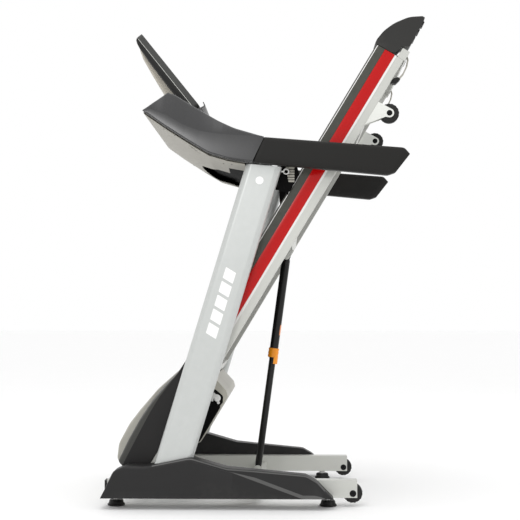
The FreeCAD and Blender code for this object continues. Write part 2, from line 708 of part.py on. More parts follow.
def deck_rail(word, side):
    name = "deck_rail_" + word
    half, wall = size.deck_rail_width / 2, size.deck_rail_wall
    low, top = size.deck_low, size.deck_low + size.deck_rail_height
    outside = slab(name + "_outside", [(size.deck_front, low), (size.deck_rear, low),
                                       (size.deck_rear, top), (size.deck_front, top)],
                   size.deck_rail_width, ((18, (0, 3)),))
    hollow = box(name + "_hollow", (size.deck_front + wall + 16, size.deck_rear + 1),
                 (wall - half, half - wall), (low + wall, top - wall))
    bore = rod(name + "_bore", size.pivot_pin + size.bore_fit, size.deck_rail_width + 2,
               (0, -half - 1, 0))
    fold(cut(name, outside, hollow, bore), side * deck_rail_y)


deck_rail_in = deck_rail_y - size.deck_rail_width / 2


def deck_crossmembers():
    # The bars between the deck rails, the motor's cradle and the ears for the head of the strut.
    low, top = size.deck_low, size.deck_low + size.cross_height
    reach = deck_rail_in
    pin_s, pin_n = size.strut_pin_along, size.strut_pin_below
    member_gap = 2 * size.strut_tube - 1
    bars = (("front_member", 34, 54), ("middle_member", 300, 330),
            ("strut_member", pin_s + member_gap, pin_s + member_gap + 30),
            ("roller_member", 1180, 1205))
    pieces = [box(name, (start, end), (-reach, reach), (low, top)) for name, start, end in bars]
    pieces.append(box("rear_bar", (size.deck_rear, size.deck_rear + 32), (-(deck_half - 2), deck_half - 2),
                      (low - 4, low + 21)))
    ear = size.ear
    for word, side in sides:
        middle = side * (size.strut_tube + size.ear_thick / 2)
        plate = slab("head_ear_" + word, [(pin_s, pin_n - ear), (pin_s + member_gap + 1, pin_n - ear),
                                          (pin_s + member_gap + 1, pin_n + ear),
                                          (pin_s, pin_n + ear)], size.ear_thick)
        pieces.append(place(plate, y=middle))
        pieces.append(rod("head_eye_" + word, ear, size.ear_thick,
                          (pin_s, middle - size.ear_thick / 2, pin_n)))
        hanger = box("cradle_hanger_" + word, (140, 240), (120, 124), (-98, low + 1))
        bar = box("cradle_bar_" + word, (54, 300), (108, 124), (low, low + 12))
        pieces += [hanger, bar] if side > 0 else [mirror(hanger), mirror(bar)]
    pieces.append(box("cradle_floor", (140, 240), (-124, 124), (-98, -94)))
    pieces.append(box("motor_foot", (165, 215), (-60, 60), (-94, size.motor_below - size.motor + 2)))
    reach = size.strut_tube + size.ear_thick + 1
    bore = rod("head_bore", size.strut_pin + size.bore_fit, 2 * reach, (pin_s, -reach, pin_n))
    shaft_hole = rod("shaft_hole", size.motor_pulley + 3, 20, (size.motor_along, 112, size.motor_below))
    space = rod("motor_space", size.motor + size.fit, size.motor_length + 2,
                (size.motor_along, -size.motor_length / 2 - 1, size.motor_below))
    welded = cut("deck_weldment", join("deck_members", *pieces), bore, shaft_hole, space)
    fold(group("deck_crossmembers", welded, *strut_head_bolts()))


def strut_head_bolts():
    # A stub bolt through each ear. The strut's head hangs between them.
    along, below = size.strut_pin_along, size.strut_pin_below
    bolt = rod("stub_bolt", size.strut_pin, size.ear_thick + 4, (along, size.strut_tube, below))
    head = rod("stub_head", size.strut_pin + 3, 4,
               (along, size.strut_tube + size.ear_thick + size.fit, below))
    stub = join("stub", bolt, head)
    return stub, mirror(stub)


def running_surface():
    half = size.board_width / 2
    low = size.board_top - size.board_thick
    board = box("running_board_solid", (size.board_front, size.board_rear), (-half, half),
                (low, size.board_top))
    fold(group("running_board", board))
    rail_top_n = size.deck_low + size.deck_rail_height
    cushions = []
    for along in (190, 560, 930, 1290):
        pad = rod("cushion_%d" % along, 8, low - rail_top_n, (along, -256, rail_top_n), "z")
        cushions += [pad, mirror(pad)]
    fold(group("deck_cushions", *cushions))
    centre = size.board_top - size.roller
    loops = []
    for word, grow in (("outside", size.fit + size.belt_thick), ("inside", size.fit)):
        radius = size.roller + grow
        half = size.belt_width / 2 + (0 if word == "outside" else 1)
        run = box("belt_run_" + word, (size.roller_front, size.roller_rear), (-half, half),
                  (centre - radius, centre + radius))
        ends = [rod("belt_end_%s_%d" % (word, spot), radius, 2 * half, (where, -half, centre))
                for spot, where in enumerate((size.roller_front, size.roller_rear))]
        loops.append(join("belt_loop_" + word, run, *ends))
    fold(cut("running_belt", *loops))


def rollers():
    centre = size.board_top - size.roller
    half = size.belt_width / 2 + 1
    axles = []
    for name, where in (("front_roller", size.roller_front), ("rear_roller", size.roller_rear)):
        drum = rod(name + "_drum", size.roller, 2 * half, (where, -half, centre))
        parts = [drum]
        if name == "front_roller":
            parts.append(rod("drum_pulley", size.drum_pulley, size.pulley_width, (where, 216, centre)))
            parts.append(rod("pulley_neck", 14, 8, (where, half - 1, centre)))
        bore = rod(name + "_bore", 8 + size.bore_fit, 2 * half + 60, (where, -half - 30, centre))
        fold(cut(name, join(name + "_solid", *parts) if len(parts) > 1 else drum, bore))
        axles.append(rod(name + "_axle", 8, 2 * deck_rail_in, (where, -deck_rail_in, centre)))
        blocks = box(name + "_block", (where - 12, where + 12), (deck_rail_in - 9, deck_rail_in),
                     (size.deck_low + size.deck_rail_height - 12, centre + 12))
        axles += [blocks, mirror(blocks)]
    tension = rod("tension_bolt", 4, 34, (size.roller_rear + 12, deck_rail_in - 5, centre), "x")
    front = join("front_axle", *axles[:3])
    rear = join("rear_axle", *axles[3:], tension, mirror(tension))
    fold(group("roller_axles", front, rear))


def foot_rail(word, side):
    # The side rail the user stands on to start: an extrusion with a rounded outer shoulder.
    top, out = size.foot_rail_top, deck_half + 0.2
    inner = deck_half - size.foot_rail_width + 1
    lip = size.board_top + 0.5
    rail_top_n = size.deck_low + size.deck_rail_height
    leg_in = deck_half - size.foot_rail_leg
    outline = [(inner, lip), (inner, lip + size.foot_rail_lip), (inner + 9, top - 5.5),
               (out - 26, top - 3), (out - 11, top), (out - 3.5, top - 1.5), (out, top - 6),
               (out, size.trim_top + 0.3), (deck_half - 2.3, size.trim_top + 0.3),
               (deck_half - 2.3, rail_top_n), (leg_in, rail_top_n), (leg_in, lip)]
    if side < 0:
        outline = [(-y, n) for y, n in outline]
    extrusion = strip("foot_rail_%s_section" % word, outline, size.trim_front, size.deck_rear)
    fold(group("foot_rail_" + word, extrusion))


def deck_trims():
    strip_half = size.trim_thick / 2
    height = size.trim_top - size.trim_low
    trim = slab("deck_trim", [(size.trim_front, size.trim_low), (size.deck_rear, size.trim_low),
                              (size.deck_rear, size.trim_top), (size.trim_front, size.trim_top)],
                size.trim_thick - 0.9)
    place(trim, y=-(deck_half - 1.9 + strip_half - 0.4))
    fold(group("deck_trims", trim, mirror(trim)))


def end_cap(word, side):
    # The moulded nose at the rear of a foot rail, over the end of the deck frame.
    start = size.deck_rear + 0.8
    outline = [(start, 3), (start, 61), (start + 30, 62), (start + 75, 47), (start + 122, 14),
               (start + 145, -20), (start + 146, -29), (start + 137, -31), (start + 60, -34.5),
               (start + 44, -34.5), (start + 32.5, -14), (start + 10, -10)]
    cap = slab("end_cap_" + word + "_body", outline, size.cap_width,
               ((14, (2,)), (60, (3,)), (60, (4,)), (5, (5, 6))), (side, 7))
    centre = deck_half + size.cap_out - size.cap_width / 2
    fold(group("end_cap_" + word, place(cap, y=side * centre)))


def motor_parts():
    at_s, at_n, half = size.motor_along, size.motor_below, size.motor_length / 2
    can = rod("motor_can", size.motor, size.motor_length, (at_s, -half, at_n))
    bore = rod("motor_bore", 7.5 + size.bore_fit, size.motor_length + 2, (at_s, -half - 1, at_n))
    fold(cut("motor", can, bore))
    shaft = rod("motor_shaft", 7.5, 103 + 232, (at_s, -103, at_n))
    wheel_disc = rod("flywheel_disc", size.flywheel, 16, (at_s, -100, at_n))
    pulley = rod("motor_pulley", size.motor_pulley, size.pulley_width, (at_s, 216, at_n))
    fold(join("motor_rotor", shaft, wheel_disc, pulley))


def loop_face(start, end, start_radius, end_radius):
    # The face inside a belt that runs round two circles, in the deck's S and N.
    (s0, n0), (s1, n1) = start, end
    line = math.atan2(n1 - n0, s1 - s0)
    open_by = math.acos((start_radius - end_radius) / math.hypot(s1 - s0, n1 - n0))

    def spot(centre, radius, angle):
        return vector(centre[0] + radius * math.cos(angle), 0, centre[1] + radius * math.sin(angle))

    upper, lower = line + open_by, line - open_by
    edges = [Part.LineSegment(spot(start, start_radius, upper), spot(end, end_radius, upper)),
             Part.Arc(spot(end, end_radius, upper), spot(end, end_radius, line),
                      spot(end, end_radius, lower)),
             Part.LineSegment(spot(end, end_radius, lower), spot(start, start_radius, lower)),
             Part.Arc(spot(start, start_radius, lower), spot(start, start_radius, line + math.pi),
                      spot(start, start_radius, upper))]
    return Part.Face(Part.Wire([edge.toShape() for edge in edges]))


def drive_belt():
    # A closed loop of tangent runs and arcs, which no primitive or sketch feature gives directly.
    start = (cells["roller_front"], cells["board_top"] - cells["roller"])
    end = (cells["motor_along"], cells["motor_below"])
    inner = (cells["drum_pulley"] + cells["fit"], cells["motor_pulley"] + cells["fit"])
    thick, width = cells["drive_thick"], vector(0, cells["pulley_width"] - 1, 0)
    solid = loop_face(start, end, inner[0] + thick, inner[1] + thick).extrude(width).cut(
        loop_face(start, end, inner[0], inner[1]).extrude(width))
    item = doc.addObject("Part::Feature", "drive_belt_loop")
    item.Shape = solid
    item.Placement = FreeCAD.Placement(vector(0, 216.5, 0), FreeCAD.Rotation())
    fold(group("drive_belt", item))


def hood():
    # The pale raised centre of the motor hood and the dark lower mouldings beside it.
    outline = [(-72, 22), (-94, 62), (-84, 88), (-38, 109), (30, 112), (84, 106), (170, 93),
               (250, 65), (292, 47), (292, 44), (62, 44), (40, 22)]
    outside, hollow = shell("hood_shell", outline, size.hood_centre_width, size.hood_wall, (9, 10, 11),
                            ((9, (1,)), (12, (2,)), (60, (3,)), (150, (4, 5)), (60, (6, 7))))
    soften(outside, 5, lambda edge: all(
        abs(abs(end.Y) - number(size.hood_centre_width) / 2) < 0.01 for end in edge.Vertexes) and any(
        end.Z > 60 for end in edge.Vertexes))
    fold(cut("hood_centre", outside, hollow))
    inner = size.hood_centre_width / 2 + size.fit
    width = deck_half - inner
    outline = [(-55, 14.3), (-72, 53), (-69, 74), (4, 80), (70, 82), (134, 79), (199, 69), (255, 57.4),
               (294, 56), (294, 14.3)]
    outside, hollow = shell("hood_side", outline, width, size.hood_wall, (8, 9),
                            ((8, (2,)), (90, (5, 6)), (20, (7,))), (-1, 6))
    skirt = slab("hood_skirt", [(-60, 20), (-36, -14), (294, -16), (294, 30), (-50, 30)], 1.6, ((8, (1,)),))
    place(skirt, y=-(width / 2 - 0.8))
    place(hollow, y=3 + size.fit)
    half_hood = place(join("hood_side_piece", cut("hood_side_shell", outside, hollow), skirt),
                      y=-(inner + width / 2))
    fold(group("hood_sides", half_hood, mirror(half_hood)))


def belly_pan():
    low = size.belly_low
    outline = [(88, -41), (92, low + 12), (104, low), (266, low), (280, low + 14), (296, -41)]
    outside, hollow = shell("belly", outline, size.belly_width, 2.5, (5,), ((8, (1, 2)), (10, (3, 4))))
    fold(cut("belly_pan", outside, hollow))


def deck_wheels():
    at_s, at_n = size.deck_wheel_along, size.deck_wheel_below
    low = size.deck_low
    brackets = []
    thick, gap = 2.5, size.deck_wheel_width / 2 + 1
    outline = [(at_s - 70, low), (at_s + 12, low), (at_s + 14, at_n + 4), (at_s, at_n - 13),
               (at_s - 13, at_n), (at_s - 44, at_n + 26)]
    plates = []
    for word, offset in (("outer", -(gap + thick / 2)), ("inner", gap + thick / 2)):
        plate = slab("wheel_plate_" + word, outline, thick, ((5, (1, 2)), (12, (3, 4))))
        plates.append(place(plate, y=offset))
    web = box("wheel_web", (at_s - 68, at_s + 10), (-gap - 0.5, gap + 0.5), (low - 3, low))
    axle = rod("deck_wheel_axle", size.axle, 2 * (gap + thick) + 4, (at_s, -(gap + thick) - 2, at_n))
    bracket = place(join("wheel_bracket", *plates, web, axle), y=-(deck_half - 15.6))
    brackets += [bracket, mirror(bracket)]
    fold(group("deck_wheel_brackets", *brackets))
    for word, side in sides:
        item = wheel("deck_wheel_%s_solid" % word, size.deck_wheel, size.deck_wheel_width, size.axle)
        place(item, at_s, side * (deck_half - 15.6), at_n)
        fold(group("deck_wheel_" + word, item))


def power_panel():
    # The mains inlet with its rocker switch and its breaker, under the front of the hood.
    panel = box("inlet_panel", (20, 34), (-190, -80), (-36, 4))
    socket = box("inlet_socket", (19, 30), (-185, -155), (-26, -6))
    rocker_well = box("rocker_well", (19, 31), (-142, -120), (-28, -4))
    breaker_hole = rod("breaker_hole", 5.3, 12, (19, -98, -16), "x")
    pivot_hole = rod("rocker_pivot_hole", 2.5 + size.bore_fit, 27, (28, -144.5, -16))
    fold(cut("power_inlet", panel, socket, rocker_well, breaker_hole, pivot_hole))
    rocker = slab("rocker_cap", [(28, -24), (22, -25), (18, -24), (19.5, -16), (18, -8), (22, -7),
                                 (28, -8)], 20.5)
    pivot = rod("rocker_pivot", 2.5, 25, (28, -143.5, -16))
    fold(join("power_rocker", place(rocker, y=-131), pivot))
    fold(group("breaker_button", rod("breaker_cap", 5, 9, (17, -98, -16), "x")))


for side_word, side_sign in sides:
    base_rail(side_word, side_sign)
    upright(side_word, side_sign)
    base_cover(side_word, side_sign)
    handrail(side_word, side_sign)
    base_wheel(side_word, side_sign)
    deck_rail(side_word, side_sign)
    foot_rail(side_word, side_sign)
    end_cap(side_word, side_sign)
for make in (pivot_bar, strut_crossbar, levelling_feet, base_bolts, console_frame,
             eye_bolts, console_cheeks, console_upper_shell, cup_holders, console_lower_shell, display,
             keypad, safety_key, strut, deck_crossmembers, running_surface, rollers,
             deck_trims, motor_parts, drive_belt, hood, belly_pan, deck_wheels, power_panel):
    make()
doc.recompute()

failed = [item.Label for item in doc.Objects if "Invalid" in item.State or "Error" in item.State]
failed += [item.Label for item in nodes if item.Shape.isNull() or not item.Shape.isValid()]
if failed:
    raise RuntimeError("failed to build: " + ", ".join(failed))
os.makedirs("parts", exist_ok=True)
whole = FreeCAD.BoundBox()
for item in nodes:
    item.Shape.exportStep("parts/%s.step" % item.Label)
    whole.add(item.Shape.optimalBoundingBox(False))
print(len(nodes), "sub-parts, overall", [round(v, 2) for v in (
    whole.XMin, whole.XMax, whole.YMin, whole.YMax, whole.ZMin, whole.ZMax)])
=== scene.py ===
import json
import math

import bmesh
import bpy
from mathutils import Matrix, Vector


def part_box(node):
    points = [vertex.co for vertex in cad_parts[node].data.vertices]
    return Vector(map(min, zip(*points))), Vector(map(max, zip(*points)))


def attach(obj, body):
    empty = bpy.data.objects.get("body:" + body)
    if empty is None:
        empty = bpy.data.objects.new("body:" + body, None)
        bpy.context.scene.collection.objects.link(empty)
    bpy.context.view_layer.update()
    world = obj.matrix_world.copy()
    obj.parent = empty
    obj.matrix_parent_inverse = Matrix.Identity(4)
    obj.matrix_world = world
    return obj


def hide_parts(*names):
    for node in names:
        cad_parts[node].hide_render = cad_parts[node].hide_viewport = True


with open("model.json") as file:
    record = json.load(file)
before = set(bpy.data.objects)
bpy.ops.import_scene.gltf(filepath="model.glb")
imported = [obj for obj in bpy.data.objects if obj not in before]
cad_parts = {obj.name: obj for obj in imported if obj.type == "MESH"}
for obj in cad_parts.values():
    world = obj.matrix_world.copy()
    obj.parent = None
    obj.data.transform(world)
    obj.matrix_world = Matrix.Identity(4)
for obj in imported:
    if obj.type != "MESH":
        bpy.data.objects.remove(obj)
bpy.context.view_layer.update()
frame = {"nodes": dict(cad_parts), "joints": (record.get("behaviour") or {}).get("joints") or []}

# Standing parts are drawn in millimetres with X to the rear, Y to the right and Z up.
# Deck parts are drawn in millimetres with X along the deck, Y across and Z out of its belt side.
mm = 0.001
joints = {joint["name"]: joint for joint in frame["joints"]}
foldPoint = Vector(joints["deck_fold"]["pos_m"])
alongDeck = Vector(joints["breaker_press"]["axis"]).normalized()
offDeck = alongDeck.cross(Vector((0, 1, 0)))
railFrontAt = -468
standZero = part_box("base_rail_left")[0].x - railFrontAt * mm
uprightFoot, uprightLean = (-291, 52), 16.95
standSpace = Matrix(((mm, 0, 0, standZero), (0, mm, 0, 0), (0, 0, mm, 0), (0, 0, 0, 1)))
deckSpace = Matrix(((alongDeck.x * mm, 0, offDeck.x * mm, foldPoint.x), (0, mm, 0, 0),
                    (alongDeck.z * mm, 0, offDeck.z * mm, foldPoint.z), (0, 0, 0, 1)))
sides = (("left", -1), ("right", 1))


def leaningSpace(x, z, lean):
    # a drawing frame that stands at (x, z) and tips its top to the rear by lean degrees
    return standSpace @ Matrix.Translation((x, 0, z)) @ Matrix.Rotation(math.radians(lean), 4, "Y")


def newGroup(name, inputs, outputs):
    group = bpy.data.node_groups.new(name, "ShaderNodeTree")
    kinds = {"vector": "NodeSocketVector", "number": "NodeSocketFloat", "colour": "NodeSocketColor"}
    for label, kind, value in inputs:
        socket = group.interface.new_socket(name=label, in_out="INPUT", socket_type=kinds[kind])
        if value is not None:
            socket.default_value = value
    for label, kind in outputs:
        group.interface.new_socket(name=label, in_out="OUTPUT", socket_type=kinds[kind])
    return group, group.nodes.new("NodeGroupInput"), group.nodes.new("NodeGroupOutput")


def feed(tree, socket, value):
    # links another node's output to an input, or sets the input's own value
    if isinstance(value, bpy.types.NodeSocket):
        tree.links.new(value, socket)
    else:
        socket.default_value = value


def addNode(tree, kind, settings=None, **sockets):
    # sockets maps an input's name, with spaces as underscores, or i and its number, to what feeds it
    node = tree.nodes.new(kind)
    for key, value in (settings or {}).items():
        setattr(node, key, value)
    for key, value in sockets.items():
        label = key.replace("_", " ")
        numbered = key[0] == "i" and key[1:].isdigit()
        feed(tree, node.inputs[int(key[1:])] if numbered else node.inputs[label], value)
    return node


def blendColours(tree, factor, first, second, mode="MIX"):
    node = tree.nodes.new("ShaderNodeMix")
    node.data_type, node.blend_type = "RGBA", mode
    for spot, value in ((0, factor), (6, first), (7, second)):
        feed(tree, node.inputs[spot], value)
    return node.outputs[2]


def doMath(tree, operation, first, second, clamp=False):
    return addNode(tree, "ShaderNodeMath", {"operation": operation, "use_clamp": clamp},
                   i0=first, i1=second).outputs[0]


def remap(tree, value, low, high, toLow, toHigh):
    return addNode(tree, "ShaderNodeMapRange", {}, Value=value, From_Min=low, From_Max=high,
                   To_Min=toLow, To_Max=toHigh).outputs["Result"]


def makeMouldGrain():
    # fine spark-eroded texture of moulded plastic, with slow shade changes over the part
    tree, given, out = newGroup(
        "mouldGrain", (("Place", "vector", None), ("Light", "colour", (0.1, 0.1, 0.1, 1)),
                       ("Dark", "colour", (0.05, 0.05, 0.05, 1)), ("Grain Size", "number", 900),
                       ("Shade Size", "number", 7), ("Smooth Roughness", "number", 0.35),
                       ("Rough Roughness", "number", 0.5)),
        (("Color", "colour"), ("Roughness", "number"), ("Height", "number")))
    cells = addNode(tree, "ShaderNodeTexVoronoi", {}, Vector=given.outputs["Place"],
                    Scale=given.outputs["Grain Size"])
    fine = addNode(tree, "ShaderNodeTexNoise", {}, Vector=given.outputs["Place"],
                   Scale=given.outputs["Grain Size"], Detail=2.0, Roughness=0.6)
    slow = addNode(tree, "ShaderNodeTexNoise", {}, Vector=given.outputs["Place"],
                   Scale=given.outputs["Shade Size"], Detail=4.0, Roughness=0.55)
    shade = remap(tree, slow.outputs["Fac"], 0.32, 0.68, 0.0, 1.0)
    speck = remap(tree, fine.outputs["Fac"], 0.35, 0.65, 0.0, 1.0)
    both = doMath(tree, "ADD", doMath(tree, "MULTIPLY", shade, 0.7), doMath(tree, "MULTIPLY", speck, 0.3))
    colour = blendColours(tree, both, given.outputs["Dark"], given.outputs["Light"])
    tree.links.new(colour, out.inputs["Color"])
    span = doMath(tree, "SUBTRACT", given.outputs["Rough Roughness"], given.outputs["Smooth Roughness"])
    tree.links.new(doMath(tree, "ADD", given.outputs["Smooth Roughness"],
                         doMath(tree, "MULTIPLY", span, both)), out.inputs["Roughness"])
    tree.links.new(doMath(tree, "ADD", doMath(tree, "MULTIPLY", cells.outputs["Distance"], 0.6),
                         doMath(tree, "MULTIPLY", fine.outputs["Fac"], 0.4)), out.inputs["Height"])
    return tree


def makePaintSkin():
    # sprayed paint: tiny flakes in the colour and a shallow orange-peel surface
    tree, given, out = newGroup(
        "paintSkin", (("Place", "vector", None), ("Light", "colour", (0.6, 0.6, 0.6, 1)),
                      ("Dark", "colour", (0.5, 0.5, 0.5, 1)), ("Flake Size", "number", 2600),
                      ("Peel Size", "number", 260), ("Roughness", "number", 0.35)),
        (("Color", "colour"), ("Roughness", "number"), ("Height", "number")))
    flake = addNode(tree, "ShaderNodeTexVoronoi", {}, Vector=given.outputs["Place"],
                    Scale=given.outputs["Flake Size"])
    peel = addNode(tree, "ShaderNodeTexNoise", {}, Vector=given.outputs["Place"],
                   Scale=given.outputs["Peel Size"], Detail=1.5)
    slow = addNode(tree, "ShaderNodeTexNoise", {}, Vector=given.outputs["Place"], Scale=4.0, Detail=3.0)
    sparkle = addNode(tree, "ShaderNodeSeparateColor", {}, Color=flake.outputs["Color"])
    mask = doMath(tree, "ADD", doMath(tree, "MULTIPLY", sparkle.outputs[0], 0.45),
                 doMath(tree, "MULTIPLY", remap(tree, slow.outputs["Fac"], 0.3, 0.7, 0.0, 1.0), 0.55))
    tree.links.new(blendColours(tree, mask, given.outputs["Dark"], given.outputs["Light"]),
                   out.inputs["Color"])
    wobble = remap(tree, slow.outputs["Fac"], 0.3, 0.7, -0.05, 0.06)
    tree.links.new(doMath(tree, "ADD", given.outputs["Roughness"], wobble), out.inputs["Roughness"])
    tree.links.new(peel.outputs["Fac"], out.inputs["Height"])
    return tree


def makeDrawnMetal():
    # long fine lines left by drawing, grinding or brushing; Stretch squeezes one axis
    tree, given, out = newGroup(
        "drawnMetal", (("Place", "vector", None), ("Light", "colour", (0.7, 0.7, 0.7, 1)),
                       ("Dark", "colour", (0.5, 0.5, 0.5, 1)), ("Line Size", "number", 900),
                       ("Roughness", "number", 0.3)),
        (("Color", "colour"), ("Roughness", "number"), ("Height", "number")))
    squeeze = addNode(tree, "ShaderNodeMapping", {}, Vector=given.outputs["Place"])
    squeeze.inputs["Scale"].default_value = (1.0, 0.02, 1.0)
    lines = addNode(tree, "ShaderNodeTexNoise", {}, Vector=squeeze.outputs["Vector"],
                    Scale=given.outputs["Line Size"], Detail=3.0, Roughness=0.7)
    blot = addNode(tree, "ShaderNodeTexNoise", {}, Vector=given.outputs["Place"], Scale=22.0, Detail=5.0)
    mask = doMath(tree, "ADD", doMath(tree, "MULTIPLY", lines.outputs["Fac"], 0.6),
                 doMath(tree, "MULTIPLY", blot.outputs["Fac"], 0.4))
    tree.links.new(blendColours(tree, remap(tree, mask, 0.35, 0.65, 0.0, 1.0),
                                given.outputs["Dark"], given.outputs["Light"]), out.inputs["Color"])
    tree.links.new(doMath(tree, "ADD", given.outputs["Roughness"],
                         remap(tree, blot.outputs["Fac"], 0.3, 0.7, -0.06, 0.1)), out.inputs["Roughness"])
    tree.links.new(lines.outputs["Fac"], out.inputs["Height"])
    return tree


def makeEdgeRub():
    # where hands, shoes and boxes have polished the corners of a part
    tree, given, out = newGroup(
        "edgeRub", (("Color", "colour", (0.1, 0.1, 0.1, 1)), ("Roughness", "number", 0.5),
                    ("Rubbed Color", "colour", (0.2, 0.2, 0.2, 1)), ("Amount", "number", 0.5),
                    ("Place", "vector", None)),
        (("Color", "colour"), ("Roughness", "number")))
    shape = addNode(tree, "ShaderNodeNewGeometry")
    patchy = addNode(tree, "ShaderNodeTexNoise", {}, Vector=given.outputs["Place"], Scale=60.0, Detail=5.0)
    edge = remap(tree, shape.outputs["Pointiness"], 0.57, 0.68, 0.0, 1.0)
    mask = doMath(tree, "MULTIPLY", doMath(tree, "MULTIPLY", edge, given.outputs["Amount"]),
                 remap(tree, patchy.outputs["Fac"], 0.38, 0.62, 0.2, 1.0), True)
    tree.links.new(blendColours(tree, mask, given.outputs["Color"], given.outputs["Rubbed Color"]),
                   out.inputs["Color"])
    tree.links.new(doMath(tree, "SUBTRACT", given.outputs["Roughness"],
                         doMath(tree, "MULTIPLY", mask, 0.12)), out.inputs["Roughness"])
    return tree


def makeFineDust():
    # a little pale dust on faces that look up, broken up by noise
    tree, given, out = newGroup(
        "fineDust", (("Color", "colour", (0.1, 0.1, 0.1, 1)), ("Roughness", "number", 0.5),
                     ("Dust Color", "colour", (0.5, 0.48, 0.45, 1)), ("Amount", "number", 0.1),
                     ("Place", "vector", None)),
        (("Color", "colour"), ("Roughness", "number")))
    shape = addNode(tree, "ShaderNodeNewGeometry")
    facing = addNode(tree, "ShaderNodeSeparateXYZ", {}, Vector=shape.outputs["Normal"])
    cloud = addNode(tree, "ShaderNodeTexNoise", {}, Vector=given.outputs["Place"], Scale=35.0, Detail=8.0,
                    Roughness=0.7)
    mask = doMath(tree, "MULTIPLY", remap(tree, facing.outputs["Z"], 0.35, 1.0, 0.0, 1.0),
                 remap(tree, cloud.outputs["Fac"], 0.4, 0.7, 0.0, 1.0))
    mask = doMath(tree, "MULTIPLY", mask, given.outputs["Amount"], True)
    tree.links.new(blendColours(tree, mask, given.outputs["Color"], given.outputs["Dust Color"]),
                   out.inputs["Color"])
    tree.links.new(doMath(tree, "ADD", given.outputs["Roughness"],
                         doMath(tree, "MULTIPLY", mask, 0.3)), out.inputs["Roughness"])
    return tree


def makeBeltWeave():
    # crossed rows of a belt's top cloth, one set along the deck and one across it
    tree, given, out = newGroup(
        "beltWeave", (("Place", "vector", None), ("Rows", "number", 420.0)),
        (("Height", "number"), ("Mask", "number")))
    lengthwise = addNode(tree, "ShaderNodeTexWave", {"wave_type": "BANDS", "bands_direction": "X"},
                         Vector=given.outputs["Place"], Scale=given.outputs["Rows"], Distortion=0.4)
    crosswise = addNode(tree, "ShaderNodeTexWave", {"wave_type": "BANDS", "bands_direction": "Y"},
                        Vector=given.outputs["Place"], Scale=given.outputs["Rows"], Distortion=0.4)
    both = doMath(tree, "MAXIMUM", lengthwise.outputs["Fac"], crosswise.outputs["Fac"])
    tree.links.new(both, out.inputs["Height"])
    slow = addNode(tree, "ShaderNodeTexNoise", {}, Vector=given.outputs["Place"], Scale=5.0, Detail=6.0)
    tree.links.new(doMath(tree, "MULTIPLY", both, remap(tree, slow.outputs["Fac"], 0.3, 0.7, 0.4, 1.0)),
                   out.inputs["Mask"])
    return tree


groups = {"mouldGrain": makeMouldGrain(), "paintSkin": makePaintSkin(), "drawnMetal": makeDrawnMetal(),
          "edgeRub": makeEdgeRub(), "fineDust": makeFineDust(), "beltWeave": makeBeltWeave()}
print("finish groups built")


def useGroup(tree, name, **sockets):
    node = tree.nodes.new("ShaderNodeGroup")
    node.node_tree = groups[name]
    for key, value in sockets.items():
        feed(tree, node.inputs[key.replace("_", " ")], value)
    return node


def rgba(values):
    return (*values, 1.0)


def startMaterial(name, deckPitch=None):
    # a material with its Principled shader and object-space coordinates, turned with the deck if asked
    material = bpy.data.materials.new(name)
    material.use_nodes = True
    tree = material.node_tree
    shader = tree.nodes["Principled BSDF"]
    place = tree.nodes.new("ShaderNodeTexCoord").outputs["Object"]
    if deckPitch is not None:
        mapping = addNode(tree, "ShaderNodeMapping", {}, Vector=place, Rotation=(0, deckPitch, 0))
        place = mapping.outputs["Vector"]
    return material, tree, shader, place


def finishSurface(tree, shader, colour, roughness, height, place, values):
    # edge rub, dust and bump, which every finish ends with
    values = {**finishBase, **values}
    rub = useGroup(tree, "edgeRub", Color=colour, Roughness=roughness, Place=place,
                   Rubbed_Color=rgba(values["rubbed"]), Amount=values["rub"])
    dust = useGroup(tree, "fineDust", Color=rub.outputs["Color"], Roughness=rub.outputs["Roughness"],
                    Place=place, Amount=values["dust"])
    bump = addNode(tree, "ShaderNodeBump", {}, Strength=values["bump"], Distance=values["depth"],
                   Height=height)
    tree.links.new(dust.outputs["Color"], shader.inputs["Base Color"])
    tree.links.new(dust.outputs["Roughness"], shader.inputs["Roughness"])
    tree.links.new(bump.outputs["Normal"], shader.inputs["Normal"])
    shader.inputs["Specular IOR Level"].default_value = values["specular"]
    shader.inputs["Coat Weight"].default_value = values["coat"]
    shader.inputs["Coat Roughness"].default_value = values["coatRoughness"]


def skinned(name, values, groupName, metallic=0.0, **sockets):
    # a finish whose colour, roughness and height all come from one group
    material, tree, shader, place = startMaterial(name)
    skin = useGroup(tree, groupName, Place=place, Light=rgba(values["light"]),
                    Dark=rgba(values["dark"]), **sockets)
    finishSurface(tree, shader, skin.outputs["Color"], skin.outputs["Roughness"],
                  skin.outputs["Height"], place, values)
    shader.inputs["Metallic"].default_value = metallic
    return material


def mouldedPlastic(name, values):
    smooth, rough = values["roughness"]
    return skinned(name, values, "mouldGrain", Grain_Size=values["grain"], Shade_Size=values["shade"],
                   Smooth_Roughness=smooth, Rough_Roughness=rough)


def sprayedPaint(name, values):
    return skinned(name, values, "paintSkin", values["metallic"], Flake_Size=values["flake"],
                   Peel_Size=values["peel"], Roughness=values["roughness"])


def bareMetal(name, values):
    return skinned(name, values, "drawnMetal", 1.0, Line_Size=values["lines"],
                   Roughness=values["roughness"])


def runningCloth(name, values):
    material, tree, shader, place = startMaterial(name, math.atan2(alongDeck.z, alongDeck.x))
    weave = useGroup(tree, "beltWeave", Place=place, Rows=values["rows"])
    colour = blendColours(tree, weave.outputs["Mask"], rgba(values["dark"]), rgba(values["light"]))
    rough = remap(tree, weave.outputs["Mask"], 0.0, 1.0, values["roughness"][0], values["roughness"][1])
    finishSurface(tree, shader, colour, rough, weave.outputs["Height"], place, values)
    return material


